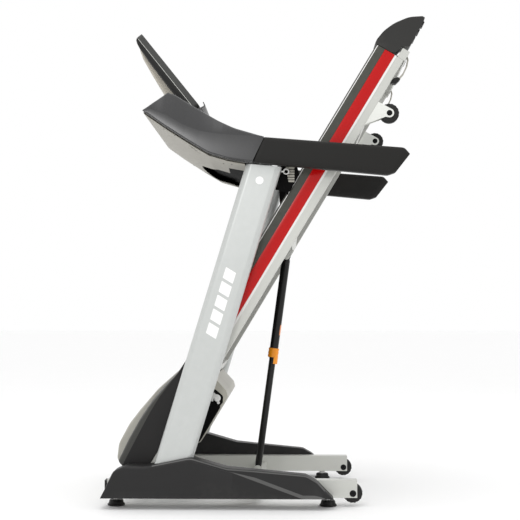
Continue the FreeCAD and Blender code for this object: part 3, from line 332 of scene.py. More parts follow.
def pressedBoard(name, values):
    material, tree, shader, place = startMaterial(name, math.atan2(alongDeck.z, alongDeck.x))
    layers = addNode(tree, "ShaderNodeTexWave", {"wave_type": "BANDS", "bands_direction": "Z"},
                     Vector=place, Scale=60.0, Distortion=1.5, Detail=3.0)
    colour = blendColours(tree, layers.outputs["Fac"], rgba(values["dark"]), rgba(values["light"]))
    rough = remap(tree, layers.outputs["Fac"], 0.0, 1.0, values["roughness"][0], values["roughness"][1])
    finishSurface(tree, shader, colour, rough, layers.outputs["Fac"], place, values)
    return material


# what a finish has unless its own row says otherwise
finishBase = {"rub": 0.3, "dust": 0.03, "bump": 0.1, "depth": 0.0003, "specular": 0.5, "coat": 0.0,
              "coatRoughness": 0.1}
plasticFinishes = {
    "coverCharcoal": {"light": (0.0155, 0.0150, 0.0152), "dark": (0.0135, 0.0131, 0.0132),
                      "grain": 1100, "shade": 3, "roughness": (0.42, 0.5),
                      "rubbed": (0.09, 0.088, 0.082), "rub": 0.4, "bump": 0.16, "specular": 0.28},
    # painted highlight: a lighter copy of coverCharcoal for the base covers' shoulder and crease strips
    "coverPaintedHighlight": {"light": (0.076, 0.0755, 0.074), "dark": (0.066, 0.0655, 0.064), "grain": 1100,
                  "shade": 4, "roughness": (0.3, 0.38), "rubbed": (0.12, 0.118, 0.11), "rub": 0.4},
    "hoodCharcoal": {"light": (0.0125, 0.0118, 0.0118), "dark": (0.0108, 0.0102, 0.0102),
                     "grain": 1100, "shade": 3, "roughness": (0.42, 0.5),
                     "rubbed": (0.08, 0.078, 0.07), "bump": 0.16, "specular": 0.24},
    # painted highlight: a lighter copy of hoodCharcoal for the rounded shoulder of the hood sides
    "hoodPaintedHighlight": {"light": (0.042, 0.042, 0.038), "dark": (0.036, 0.036, 0.032), "grain": 1100,
                 "shade": 4, "roughness": (0.34, 0.42), "rubbed": (0.1, 0.098, 0.09),
                 "specular": 0.35},
    "consoleCharcoal": {"light": (0.030, 0.030, 0.031), "dark": (0.027, 0.027, 0.028), "grain": 1500,
                        "shade": 4, "roughness": (0.24, 0.3), "rubbed": (0.13, 0.13, 0.13),
                        "dust": 0.02, "bump": 0.06, "depth": 0.0002, "specular": 0.55},
    "panelCharcoal": {"light": (0.042, 0.043, 0.040), "dark": (0.037, 0.038, 0.035), "grain": 1500,
                      "shade": 4, "roughness": (0.36, 0.44), "rubbed": (0.13, 0.13, 0.12),
                      "specular": 0.35},
    "panelDark": {"light": (0.014, 0.014, 0.0135), "dark": (0.011, 0.011, 0.0105), "grain": 1500,
                  "shade": 4, "roughness": (0.4, 0.5), "rubbed": (0.08, 0.08, 0.07), "specular": 0.25},
    "gripSkin": {"light": (0.0125, 0.0120, 0.0108), "dark": (0.0105, 0.0100, 0.0090), "grain": 900,
                 "shade": 6, "roughness": (0.48, 0.56), "rubbed": (0.04, 0.038, 0.035), "dust": 0.04,
                 "bump": 0.22, "depth": 0.0004, "specular": 0.22},
    "consoleStone": {"light": (0.345, 0.330, 0.285), "dark": (0.325, 0.311, 0.268), "grain": 1300,
                     "shade": 4, "roughness": (0.42, 0.5), "rubbed": (0.45, 0.43, 0.38), "rub": 0.2,
                     "dust": 0.02, "bump": 0.03, "depth": 0.0001, "specular": 0.35},
    "panelStone": {"light": (0.47, 0.44, 0.375), "dark": (0.445, 0.417, 0.355), "grain": 1300,
                   "shade": 4, "roughness": (0.42, 0.5), "rubbed": (0.55, 0.52, 0.46), "rub": 0.2,
                   "dust": 0.0, "bump": 0.02, "depth": 0.0001, "specular": 0.35},
    "hoodStone": {"light": (0.40, 0.39, 0.345), "dark": (0.375, 0.366, 0.323), "grain": 1300,
                  "shade": 4, "roughness": (0.32, 0.4), "rubbed": (0.55, 0.53, 0.48), "rub": 0.2,
                  "dust": 0.04, "bump": 0.08, "coat": 0.1},
    "railCharcoal": {"light": (0.056, 0.056, 0.046), "dark": (0.051, 0.051, 0.042), "grain": 1000,
                     "shade": 5, "roughness": (0.42, 0.5), "rubbed": (0.14, 0.135, 0.12), "dust": 0.05,
                     "bump": 0.14, "specular": 0.3},
    "capCharcoal": {"light": (0.027, 0.0265, 0.025), "dark": (0.0235, 0.023, 0.0215), "grain": 1000,
                    "shade": 5, "roughness": (0.4, 0.48), "rubbed": (0.11, 0.108, 0.1), "rub": 0.4,
                    "dust": 0.04, "bump": 0.14, "specular": 0.28},
    "redTrim": {"light": (0.50, 0.0035, 0.004), "dark": (0.44, 0.0025, 0.003), "grain": 2200,
                "shade": 3, "roughness": (0.16, 0.22), "rubbed": (0.6, 0.05, 0.04), "rub": 0.2,
                "dust": 0.01, "bump": 0.03, "depth": 0.0002, "specular": 0.2, "coat": 0.1,
                "coatRoughness": 0.08},
    # painted highlight: the pale strips along the red trim's lower edge and the foot rail's shoulder
    "pinstripe": {"light": (0.80, 0.79, 0.77), "dark": (0.76, 0.75, 0.73), "grain": 2200, "shade": 7,
                  "roughness": (0.2, 0.3), "rubbed": (0.8, 0.8, 0.8), "rub": 0.2, "bump": 0.04,
                  "depth": 0.0002, "coat": 0.4},
    "stickerWhite": {"light": (0.90, 0.90, 0.89), "dark": (0.87, 0.87, 0.86), "grain": 2200,
                     "shade": 12, "roughness": (0.3, 0.4), "rubbed": (0.9, 0.9, 0.9), "rub": 0.1,
                     "dust": 0.02, "bump": 0.04, "depth": 0.0002},
    "latchOrange": {"light": (0.86, 0.30, 0.010), "dark": (0.78, 0.26, 0.008), "grain": 1500,
                    "shade": 20, "roughness": (0.28, 0.36), "rubbed": (0.88, 0.45, 0.1), "dust": 0.02,
                    "bump": 0.08, "coat": 0.15, "specular": 0.35},
    "labelOrange": {"light": (0.82, 0.30, 0.13), "dark": (0.76, 0.27, 0.11), "grain": 2200,
                    "shade": 30, "roughness": (0.4, 0.5), "rubbed": (0.8, 0.5, 0.35), "dust": 0.02,
                    "bump": 0.05, "depth": 0.0002},
    "keyRed": {"light": (0.46, 0.014, 0.012), "dark": (0.42, 0.012, 0.010), "grain": 1500, "shade": 30,
               "roughness": (0.3, 0.4), "rubbed": (0.7, 0.1, 0.1), "rub": 0.4},
    "tyreRubber": {"light": (0.016, 0.0155, 0.015), "dark": (0.012, 0.012, 0.0115), "grain": 800,
                   "shade": 30, "roughness": (0.55, 0.7), "rubbed": (0.05, 0.048, 0.045), "rub": 0.6,
                   "dust": 0.1, "bump": 0.35, "depth": 0.0004, "specular": 0.3},
    "footRubber": {"light": (0.010, 0.010, 0.0095), "dark": (0.0075, 0.0075, 0.007), "grain": 900,
                   "shade": 30, "roughness": (0.4, 0.52), "rubbed": (0.05, 0.05, 0.045), "rub": 0.5,
                   "dust": 0.05, "bump": 0.2, "specular": 0.3},
    "shadowBlack": {"light": (0.0028, 0.0028, 0.0027), "dark": (0.002, 0.002, 0.002), "grain": 900,
                    "shade": 9, "roughness": (0.65, 0.8), "rubbed": (0.01, 0.01, 0.01), "rub": 0.2,
                    "dust": 0.01, "bump": 0.15, "specular": 0.08},
    "markGrey": {"light": (0.60, 0.60, 0.58), "dark": (0.55, 0.55, 0.53), "grain": 1500, "shade": 20,
                 "roughness": (0.35, 0.45), "rubbed": (0.7, 0.7, 0.7), "rub": 0.2, "bump": 0.05,
                 "depth": 0.0002},
    "screenGlass": {"light": (0.008, 0.009, 0.011), "dark": (0.006, 0.007, 0.009), "grain": 300,
                    "shade": 4, "roughness": (0.06, 0.1), "rubbed": (0.02, 0.02, 0.02), "rub": 0.0,
                    "bump": 0.01, "depth": 0.0001, "coat": 0.8, "coatRoughness": 0.03},
}
paintFinishes = {
    "uprightSilver": {"light": (0.535, 0.552, 0.538), "dark": (0.515, 0.532, 0.518), "flake": 3000,
                      "peel": 240, "roughness": 0.36, "metallic": 0.35, "rubbed": (0.7, 0.7, 0.7),
                      "rub": 0.2, "dust": 0.02, "bump": 0.03, "depth": 0.0002, "coat": 0.15,
                      "coatRoughness": 0.2, "specular": 0.4},
    "frameSilver": {"light": (0.575, 0.58, 0.545), "dark": (0.54, 0.545, 0.512), "flake": 3000,
                    "peel": 260, "roughness": 0.38, "metallic": 0.3, "rubbed": (0.65, 0.65, 0.63),
                    "rub": 0.25, "bump": 0.04, "depth": 0.0002, "specular": 0.4},
    "bracketPale": {"light": (0.78, 0.79, 0.75), "dark": (0.74, 0.75, 0.71), "flake": 3000,
                    "peel": 260, "roughness": 0.4, "metallic": 0.1, "rubbed": (0.8, 0.8, 0.78),
                    "rub": 0.25, "bump": 0.04, "depth": 0.0002, "specular": 0.4},
    "strutBlack": {"light": (0.0065, 0.0065, 0.006), "dark": (0.005, 0.005, 0.0046), "flake": 2600,
                   "peel": 300, "roughness": 0.32, "metallic": 0.0, "rubbed": (0.06, 0.06, 0.055),
                   "dust": 0.02, "bump": 0.04, "specular": 0.3},
    "cradleStone": {"light": (0.40, 0.385, 0.335), "dark": (0.365, 0.352, 0.306), "flake": 2600,
                    "peel": 260, "roughness": 0.42, "metallic": 0.05, "rubbed": (0.5, 0.5, 0.46),
                    "bump": 0.04, "specular": 0.35},
}
metalFinishes = {
    "zincSteel": {"light": (0.62, 0.62, 0.60), "dark": (0.50, 0.50, 0.49), "lines": 700,
                  "roughness": 0.3, "rubbed": (0.7, 0.7, 0.7), "rub": 0.4, "dust": 0.04, "bump": 0.08,
                  "depth": 0.0002},
    "boltBlack": {"light": (0.022, 0.022, 0.022), "dark": (0.012, 0.012, 0.013), "lines": 700,
                  "roughness": 0.42, "rubbed": (0.2, 0.19, 0.18), "rub": 0.5, "bump": 0.08,
                  "depth": 0.0002},
}
finishes = {}
for maker, table in ((mouldedPlastic, plasticFinishes), (sprayedPaint, paintFinishes),
                     (bareMetal, metalFinishes)):
    for finishName, finishValues in table.items():
        finishes[finishName] = maker(finishName, finishValues)
finishes["beltCloth"] = runningCloth("beltCloth", {
    "light": (0.035, 0.035, 0.036), "dark": (0.012, 0.012, 0.012), "rows": 260.0,
    "roughness": (0.7, 0.55), "rubbed": (0.06, 0.06, 0.06), "rub": 0.2, "dust": 0.1, "bump": 0.5,
    "depth": 0.0006})
finishes["boardLaminate"] = pressedBoard("boardLaminate", {
    "light": (0.30, 0.20, 0.12), "dark": (0.18, 0.11, 0.06), "roughness": (0.5, 0.7),
    "rubbed": (0.4, 0.3, 0.2), "rub": 0.3, "dust": 0.1, "bump": 0.2, "depth": 0.0005})
print("materials built:", len(finishes))


def softOutline(points, closed=True, steps=7):
    # corners given as (x, z, radius) become arcs
    result, count = [], len(points)
    for index, point in enumerate(points):
        here = Vector(point[:2])
        radius = point[2] if len(point) > 2 else 0
        if not radius or (not closed and index in (0, count - 1)):
            result.append(here)
            continue
        back = Vector(points[index - 1][:2]) - here
        ahead = Vector(points[(index + 1) % count][:2]) - here
        turn = back.angle(ahead)
        trim = min(radius / math.tan(turn / 2), 0.49 * back.length, 0.49 * ahead.length)
        radius = trim * math.tan(turn / 2)
        middle = here + (back.normalized() + ahead.normalized()).normalized() * radius / math.sin(turn / 2)
        first = here + back.normalized() * trim - middle
        last = here + ahead.normalized() * trim - middle
        sweep = math.pi - turn
        for step in range(steps + 1):
            t = step / steps
            result.append(middle + (first * math.sin((1 - t) * sweep) + last * math.sin(t * sweep))
                          / math.sin(sweep))
    return result


def addFace(form, corners, material=0, smooth=True):
    if len(set(corners)) < 3:
        return
    try:
        face = form.faces.new(corners)
    except ValueError:
        return
    face.material_index = material
    face.smooth = smooth


def prism(form, outline, low, high, material=0, draw="xz"):
    # an outline carried across the machine from y = low to y = high, or along x when drawn in yz
    if draw == "xz":
        rings = [[form.verts.new((p[0], y, p[1])) for p in outline] for y in (low, high)]
    else:
        rings = [[form.verts.new((x, p[0], p[1])) for p in outline] for x in (low, high)]
    addFace(form, rings[0], material)
    addFace(form, rings[1], material)
    count = len(outline)
    for i in range(count):
        j = (i + 1) % count
        addFace(form, (rings[0][i], rings[0][j], rings[1][j], rings[1][i]), material)


def block(form, low, high, material=0):
    prism(form, [(low[0], low[2]), (high[0], low[2]), (high[0], high[2]), (low[0], high[2])],
          low[1], high[1], material)


def loft(form, rings, material=0, capped=True, pick=None):
    # closed rings of equal count joined in order; pick(ring, spot) can choose a face's material
    made = [[form.verts.new(point) for point in ring] for ring in rings]
    count = len(rings[0])
    for r in range(len(made) - 1):
        for i in range(count):
            j = (i + 1) % count
            addFace(form, (made[r][i], made[r][j], made[r + 1][j], made[r + 1][i]),
                    pick(r, i) if pick else material)
    if capped:
        addFace(form, made[0], material)
        addFace(form, made[-1], material)


axes = {"y": (Vector((0, 1, 0)), Vector((1, 0, 0)), Vector((0, 0, 1))),
        "x": (Vector((1, 0, 0)), Vector((0, 1, 0)), Vector((0, 0, 1))),
        "z": (Vector((0, 0, 1)), Vector((1, 0, 0)), Vector((0, 1, 0)))}


def turned(form, profile, centre, axis="y", steps=48, material=0, closed=False, ripple=None):
    # a profile of (radius, distance along the axis) turned about it; ripple(step, spot) adds radius
    main, first, second = axes[axis]
    centre = Vector(centre)
    rings = []
    for spot, (radius, rise) in enumerate(profile):
        ring = []
        for step in range(steps):
            angle = 2 * math.pi * step / steps
            spread = radius + (ripple(step, spot) if ripple else 0)
            ring.append(form.verts.new(centre + main * rise + first * spread * math.cos(angle)
                                       + second * spread * math.sin(angle)))
        rings.append(ring)
    spots = len(profile) if closed else len(profile) - 1
    for r in range(spots):
        here, there = rings[r], rings[(r + 1) % len(rings)]
        for i in range(steps):
            j = (i + 1) % steps
            addFace(form, (here[i], here[j], there[j], there[i]), material)
    if not closed:
        addFace(form, rings[0], material)
        addFace(form, rings[-1], material)


def screwHead(form, centre, facing, radius, height, axis="y", material=0):
    # a domed head with a socket, its seat at centre and its top towards facing
    socket = radius * 0.42
    profile = [(radius * 1.25, 0), (radius * 1.25, height * 0.18), (radius, height * 0.2),
               (radius * 0.96, height * 0.6), (radius * 0.72, height), (socket, height),
               (socket * 0.9, height * 0.45), (0.01, height * 0.35)]
    turned(form, [(r, facing * rise) for r, rise in profile], centre, axis, 24, material)


def makePiece(name, form, space, body, materials, nodes=(), bevel=0.0, smooth=38,
              subdivide=0, bevelSteps=3):
    # turns a form into a piece that rides on a body and stands for its CAD nodes
    bmesh.ops.remove_doubles(form, verts=form.verts, dist=0.004)
    bmesh.ops.recalc_face_normals(form, faces=form.faces)
    mesh = bpy.data.meshes.new(name)
    form.to_mesh(mesh)
    form.free()
    mesh.transform(space)
    if space.determinant() < 0:
        mesh.flip_normals()
    piece = bpy.data.objects.new(name, mesh)
    bpy.context.scene.collection.objects.link(piece)
    for material in materials if isinstance(materials, (list, tuple)) else [materials]:
        mesh.materials.append(finishes[material])
    if subdivide:
        piece.modifiers.new("rounder", "SUBSURF").levels = subdivide
        piece.modifiers["rounder"].render_levels = subdivide
    if bevel:
        edge = piece.modifiers.new("softEdges", "BEVEL")
        edge.width = bevel * mm
        edge.segments = bevelSteps
        edge.limit_method = "ANGLE"
        edge.angle_limit = math.radians(30)
        edge.use_clamp_overlap = True
        edge.harden_normals = False
    mesh.shade_smooth()
    mesh.set_sharp_from_angle(angle=math.radians(smooth if not bevel else 60))
    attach(piece, body)
    if nodes:
        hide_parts(*nodes)
    return piece


def recast(node, body, material, bevel=1.5):
    # the node's own shape with its flat faces joined up and its edges softened
    form = bmesh.new()
    form.from_mesh(frame["nodes"][node].data)
    bmesh.ops.remove_doubles(form, verts=form.verts, dist=1e-6)
    bmesh.ops.dissolve_limit(form, angle_limit=math.radians(1), verts=form.verts, edges=form.edges)
    for face in form.faces:
        face.smooth, face.material_index = True, 0
    bmesh.ops.scale(form, verts=form.verts, vec=(1 / mm,) * 3)
    return makePiece(node + "_finished", form, Matrix.Scale(mm, 4), body, material, (node,),
                     bevel=bevel)


def dress(node, *materialNames):
    # gives a CAD node that keeps its own mesh its finish
    holder = frame["nodes"][node]
    holder.data.materials.clear()
    for name in materialNames:
        holder.data.materials.append(finishes[name])


def along(points, count):
    # evenly spaced points on a path, ends included
    lengths = [0.0]
    for first, second in zip(points, points[1:]):
        lengths.append(lengths[-1] + (Vector(second) - Vector(first)).length)
    result, part = [], 0
    for step in range(count):
        want = lengths[-1] * step / (count - 1)
        while part < len(points) - 2 and lengths[part + 1] < want:
            part += 1
        run = max(lengths[part + 1] - lengths[part], 1e-9)
        result.append(Vector(points[part]).lerp(Vector(points[part + 1]), (want - lengths[part]) / run))
    return result


def heightAt(path, x):
    # z of a path, given as points with rising x
    if x <= path[0][0]:
        return path[0][1]
    for first, second in zip(path, path[1:]):
        if x <= second[0]:
            t = (x - first[0]) / max(second[0] - first[0], 1e-9)
            return first[1] + (second[1] - first[1]) * t
    return path[-1][1]


def ease(value, low, high):
    t = min(max((value - low) / (high - low), 0.0), 1.0)
    return t * t * (3 - 2 * t)


def reach(node, axis, end):
    # the low (0) or high (1) side of a node's box, in millimetres
    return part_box(node)[end][axis] / mm


def boxMiddle(node, space):
    # the middle of a node's box, in the millimetres of a drawing frame
    low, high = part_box(node)
    return space.inverted() @ ((low + high) / 2)


cameraValues = {"place": (0.0657, -3.590, 0.583), "lens": 75.39, "tilt": 92.73, "turn": 1.42}
lightValues = {
    "overheadSoftbox": {"place": (-0.6, -1.0, 3.3), "aim": (0, 0, 0.6), "size": (2.6, 2.2), "power": 22},
    "consoleSoftbox": {"place": (-0.64, -3.25, 1.62), "aim": (-0.29, -0.37, 1.12), "size": (0.26, 0.3),
                       "power": 9},
    "rearSoftbox": {"place": (2.8, 1.4, 2.2), "aim": (0, 0, 0.8), "size": (1.6, 1.6), "power": 9},
}


def makeStage():
    scene = bpy.context.scene
    camera = bpy.data.objects.new("viewCamera", bpy.data.cameras.new("viewCamera"))
    camera.location = cameraValues["place"]
    camera.rotation_euler = (math.radians(cameraValues["tilt"]), 0, math.radians(cameraValues["turn"]))
    camera.data.lens = cameraValues["lens"]
    camera.data.sensor_width = 36
    scene.collection.objects.link(camera)
    scene.camera = camera
    for name, values in lightValues.items():
        lamp = bpy.data.lights.new(name, "AREA")
        lamp.shape, lamp.energy = "RECTANGLE", values["power"]
        lamp.size, lamp.size_y = values["size"]
        holder = bpy.data.objects.new(name, lamp)
        holder.location = values["place"]
        holder.rotation_euler = (Vector(values["aim"]) - Vector(values["place"])).to_track_quat(
            "-Z", "Y").to_euler()
        scene.collection.objects.link(holder)
    world = bpy.data.worlds.new("studio")
    world.use_nodes = True
    world.node_tree.nodes["Background"].inputs["Color"].default_value = (1, 1, 1, 1)
    world.node_tree.nodes["Background"].inputs["Strength"].default_value = 1.0
    scene.world = world
    scene.view_settings.view_transform = "Standard"
    material = bpy.data.materials.new("studioFloor")
    material.use_nodes = True
    tree = material.node_tree
    place = tree.nodes.new("ShaderNodeTexCoord").outputs["Object"]
    cloud = addNode(tree, "ShaderNodeTexNoise", {}, Vector=place, Scale=3.0, Detail=4.0)
    tree.links.new(blendColours(tree, cloud.outputs["Fac"], rgba((0.965, 0.965, 0.965)),
                                rgba((0.98, 0.98, 0.98))),
                   tree.nodes["Principled BSDF"].inputs["Base Color"])
    tree.nodes["Principled BSDF"].inputs["Roughness"].default_value = 0.8
    bpy.ops.mesh.primitive_plane_add(size=60, location=(0, 0, -0.0005))
    floor = bpy.context.object
    floor.name = "studioFloor"
    floor.data.materials.append(material)


makeStage()
print("stage ready")


coverValues = {"low": 33, "shoulder": 9, "step": 7, "lean": 8,
               "creaseTop": (-200, 151), "creaseFoot": (118, 34)}
coverTop = ((-479, 33), (-441, 113, 22), (-405, 128, 22), (-345, 127), (-213, 153, 40), (-105, 122, 60),
            (130, 100, 30), (162, 82, 22), (210, 33))


def baseCover(word, side):
    values = coverValues
    out = side * max(abs(reach("base_cover_" + word, 1, end)) for end in (0, 1))
    inner = side * min(abs(reach("base_cover_" + word, 1, end)) for end in (0, 1))
    path = along(softOutline(coverTop, closed=False), 110)
    rings = []
    for x, top in path:
        top = max(top, values["low"] + 0.6)
        tall = top - values["low"]
        shoulder = min(values["shoulder"], tall * 0.45)
        t = (x - values["creaseTop"][0]) / (values["creaseFoot"][0] - values["creaseTop"][0])
        line = values["creaseTop"][1] + (values["creaseFoot"][1] - values["creaseTop"][1]) * t
        opening = ease(x, values["creaseTop"][0], values["creaseTop"][0] + 60) * ease(x, 200, 150)
        crease = min(max(line, values["low"] + 0.2), top - shoulder - 0.2)
        step = values["step"] * opening * min(1.0, (top - shoulder - crease) / 20)
        ledge = min(crease + step * 1.35 + 0.1, top - shoulder - 0.05)
        lean = values["lean"] * opening * min(1.0, max(0.0, (top - crease) / 60))
        face = out - side * (step + lean)
        ring = [(out, values["low"]), (out, crease), (out - side * step, ledge)]
        for k in range(7):
            angle = math.pi / 2 * k / 6
            ring.append((face - side * shoulder * (1 - math.cos(angle)),
                         top - shoulder * (1 - math.sin(angle))))
        ring += [(inner + side * 2, top), (inner, top - min(2, tall * 0.4)), (inner, values["low"])]
        rings.append([(x, y, z) for y, z in ring])
    form = bmesh.new()
    # faces at spots 1, 5 and 6, the crease ledge and the middle of the shoulder, take the painted highlight
    loft(form, rings, pick=lambda ring, spot: 1 if spot in (1, 5, 6) and 28 < ring < 104 else 0)
    makePiece("baseCover_" + word, form, standSpace, "base",
              ("coverCharcoal", "coverPaintedHighlight"), ("base_cover_" + word,), smooth=32)


for sideWord, sideSign in sides:
    baseCover(sideWord, sideSign)
print("base covers done")


for sideWord, sideSign in sides:
    recast("base_rail_" + sideWord, "base", "frameSilver", 2.2)


def railPlugs():
    # plastic plugs pushed into the open front ends of the base rails
    form = bmesh.new()
    for word, _ in sides:
        name = "base_rail_" + word
        front = reach(name, 0, 0)
        ys = sorted((reach(name, 1, 0), reach(name, 1, 1)))
        low, high = reach(name, 2, 0), reach(name, 2, 1)
        plugShape = softOutline([(front + 0.2, low + 1.2, 1), (front + 0.2, high - 1.2, 1),
                                 (front + 2.4, high - 2.7, 1), (front + 16, high - 2.7, 1),
                                 (front + 16, low + 2.7, 1), (front + 2.4, low + 2.7, 1)], steps=3)
        prism(form, plugShape, ys[0] + 2.7, ys[1] - 2.7)
        turned(form, [(0.01, -0.1), (7, -0.1), (8.5, 0.8), (8.5, 3), (0.01, 3)],
               (front - 0.1, (ys[0] + ys[1]) / 2, (low + high) / 2), "x", 32)
    makePiece("railPlugs", form, standSpace, "base", "coverCharcoal", bevel=0.6)


railPlugs()
recast("front_crossbar", "base", "frameSilver", 1.2)
recast("strut_crossbar", "base", "frameSilver", 1.2)

footValues = {"places": (-443, 197), "bottom": 26, "top": 21, "tall": 18, "nut": 9.5, "studTop": 27}


def levellingFeet():
    form = bmesh.new()
    values = footValues
    railY = (reach("base_rail_right", 1, 0) + reach("base_rail_right", 1, 1)) / 2
    wide, narrow = values["bottom"], values["top"]
    profile = [(0.01, 0), (wide - 2, 0), (wide, 1.5), (wide, 4.5), (wide - 1.5, 6), (narrow + 1.5, 8),
               (narrow, 15), (narrow - 2, values["tall"] - 0.4), (11, values["tall"]), (0.01, values["tall"])]
    for x in values["places"]:
        for side in (-1, 1):
            turned(form, profile, (x, side * railY, 0), "z", 60,
                   ripple=lambda step, spot: -0.7 if step % 5 == 0 and 4 < spot < 8 else 0)
            turned(form, [(0.01, values["tall"]), (values["nut"], values["tall"]),
                          (values["nut"], values["tall"] + 5.5), (values["nut"] - 1, values["tall"] + 6.5),
                          (0.01, values["tall"] + 6.5)], (x, side * railY, 0), "z", 6, 1)
            turned(form, [(0.01, values["tall"]), (5, values["tall"]), (5, values["studTop"]),
                          (0.01, values["studTop"])], (x, side * railY, 0), "z", 20, 1)
    makePiece("levellingFeet", form, standSpace, "base", ("footRubber", "zincSteel"),
              ("levelling_feet",), smooth=30)


levellingFeet()


def sideBolts():
    # dark socket bolts of the rail ends and, inside the covers, of the uprights
    form = bmesh.new()
    axleX = (reach("base_wheel_right", 0, 0) + reach("base_wheel_right", 0, 1)) / 2 - standZero / mm
    axleZ = (reach("base_wheel_right", 2, 0) + reach("base_wheel_right", 2, 1)) / 2
    inner, outer = reach("base_rail_right", 1, 0), reach("base_rail_right", 1, 1)
    for side in (-1, 1):
        screwHead(form, (axleX, side * outer, axleZ), side, 8, 4.2)
        screwHead(form, (axleX, side * inner, axleZ), -side, 8, 5)
        turned(form, [(5, side * (inner - 1)), (5, side * (outer + 1))], (axleX, 0, axleZ), "y", 24)
        for height in (42, 66):
            x = uprightFoot[0] + (height - uprightFoot[1]) * math.tan(math.radians(uprightLean))
            screwHead(form, (x, side * 342.6, height), side, 7, 4)
            turned(form, [(4, side * 292), (4, side * 343)], (x, 0, height), "y", 16)
    makePiece("sideBolts", form, standSpace, "base", "boltBlack", ("base_bolts",), smooth=30)


sideBolts()
print("base done")


wheelValues = {"base": {"radius": 29.5, "width": 26, "hub": 16.5},
               "deck": {"radius": 30, "width": 24, "hub": 16.5}}


def tyredWheel(name, node, values, space):
    centre = boxMiddle(node, space)
    radius, half, hub = values["radius"], values["width"] / 2, values["hub"]
    form = bmesh.new()

    def tread(step, spot):
        return -0.9 if step % 6 in (0, 1) and 4 <= spot <= 7 else 0

    turned(form, [(hub, -half + 0.6), (radius * 0.80, -half + 0.2), (radius - 3.5, -half + 0.9),
                  (radius - 1.2, -half + 2.2), (radius, -half + 4.5), (radius, -1.4), (radius - 1.6, -0.6),
                  (radius, 0.2), (radius, half - 4.5), (radius - 1.2, half - 2.2),
                  (radius - 3.5, half - 0.9), (radius * 0.80, half - 0.2), (hub, half - 0.6)], centre,
           "y", 96, 0, True, tread)
    for face in (-1, 1):
        turned(form, [(hub + 0.3, face * (half - 0.9)), (hub - 1.2, face * (half - 0.2)),
                      (hub - 3.0, face * (half - 1.8)), (hub * 0.58, face * (half - 2.4)),
                      (hub * 0.50, face * (half - 0.2)), (6.2, face * half), (5.2, face * half)],
               centre, "y", 48, 1)
        for spoke in range(5):
            angle = 2 * math.pi * (spoke + 0.5) / 5
            middle = Vector(centre) + Vector((math.cos(angle), 0, math.sin(angle))) * hub * 0.72
            turned(form, [(hub * 0.12, face * (half - 2.9)), (hub * 0.12, face * (half - 1.6)),
                          (hub * 0.07, face * (half - 1.4))], middle, "y", 12, 1)
    makePiece(name, form, space, node, ("tyreRubber", "coverCharcoal"), (node,),
              smooth=32)


for sideWord, sideSign in sides:
    for wheelKind, wheelSpace in (("base", standSpace), ("deck", deckSpace)):
        tyredWheel(wheelKind + "Wheel_" + sideWord, wheelKind + "_wheel_" + sideWord,
                   wheelValues[wheelKind], wheelSpace)
print("wheels done")


markValues = {"bars": 5, "start": 475, "long": 34, "gap": 9, "wide": 34, "lean": 9, "proud": 0.35,
              "sticker": 12, "stickerAt": (-8, 977)}


def uprightMarks(word, side):
    # plain pale bars on the outer face, drawn in the leaning frame of the upright
    values = markValues
    space = leaningSpace(*uprightFoot, uprightLean)
    out = max(abs(reach("upright_" + word, 1, end)) for end in (0, 1))
    form = bmesh.new()
    for bar in range(values["bars"]):
        low = values["start"] + bar * (values["long"] + values["gap"])
        half, lean = values["wide"] / 2, values["lean"]
        outline = softOutline([(-half, low + lean, 2), (half, low, 2), (half, low + values["long"], 2),
                               (-half, low + values["long"] + lean, 2)], steps=3)
        prism(form, [(x - 2, z) for x, z in outline], side * (out - 0.3), side * (out + values["proud"]))
    makePiece("uprightBars_" + word, form, space, "base", "stickerWhite", smooth=30)
    form = bmesh.new()
    x, z = values["stickerAt"]
    radius, proud = values["sticker"], values["proud"]
    turned(form, [(0.01, side * (out - 0.3)), (radius, side * (out - 0.3)), (radius, side * (out + proud)),
                  (radius - 0.8, side * (out + proud + 0.1)), (0.01, side * (out + proud + 0.1))],
           (x, 0, z), "y", 48)
    makePiece("uprightSticker_" + word, form, standSpace, "base", "stickerWhite",
              smooth=30)


for sideWord, sideSign in sides:
    dress("upright_" + sideWord, "uprightSilver")
    uprightMarks(sideWord, sideSign)
dress("eye_bolts", "zincSteel")


def deckStops():
    # the black stop blocks inside each upright's top, near-black to paint the shade around them too, with
    # their pale ribbed plates
    form, pale = bmesh.new(), bmesh.new()
    stopShape = softOutline([(44, 1046, 2), (100, 1043, 2), (112, 1000, 4), (96, 972, 6), (84, 948, 4),
                             (50, 950, 3)])
    for side in (-1, 1):
        prism(form, stopShape, *sorted((side * 293, side * 299.4)))
        turned(form, [(0.01, side * 296), (4.6, side * 296), (4.6, side * 308), (3.6, side * 309),
                      (0.01, side * 309)], (72, 0, 1006), "y", 24)
        turned(form, [(0.01, side * 293), (6, side * 293), (6, side * 301), (5, side * 302),
                      (0.01, side * 302)], (74, 0, 944), "y", 6)
        for k in range(6):
            z = 1022 - k * 8
            rib = softOutline([(70 + k * 1.5, z, 1), (97, z, 1), (97, z - 5.6, 1),
                               (72 + k * 1.5, z - 5.6, 1)], steps=3)
            prism(pale, rib, *sorted((side * 299.2, side * 300.6)))
    makePiece("deckStops", form, standSpace, "base", "shadowBlack", bevel=0.8)
    makePiece("deckStopPlates", pale, standSpace, "base", "cradleStone", bevel=0.4)


deckStops()
print("uprights done")


gripValues = {"half": 21, "squareness": 0.42}
gripTop = ((6, 1105), (424, 1072, 16), (441, 1053))
gripLow = ((-27, 1028), (374, 989, 16), (397, 997))


def gripRing(low, top, half, squareness, centreY, count=36):
    middle, rise = (low + top) / 2, (top - low) / 2
    ring = []
    for step in range(count):
        angle = 2 * math.pi * step / count
        across, up = math.cos(angle), math.sin(angle)
        across = math.copysign(abs(across) ** squareness, across)
        up = math.copysign(abs(up) ** squareness, up)
        spot = middle + rise * up
        ring.append((spot.x, centreY + half * across, spot.y))
    return ring


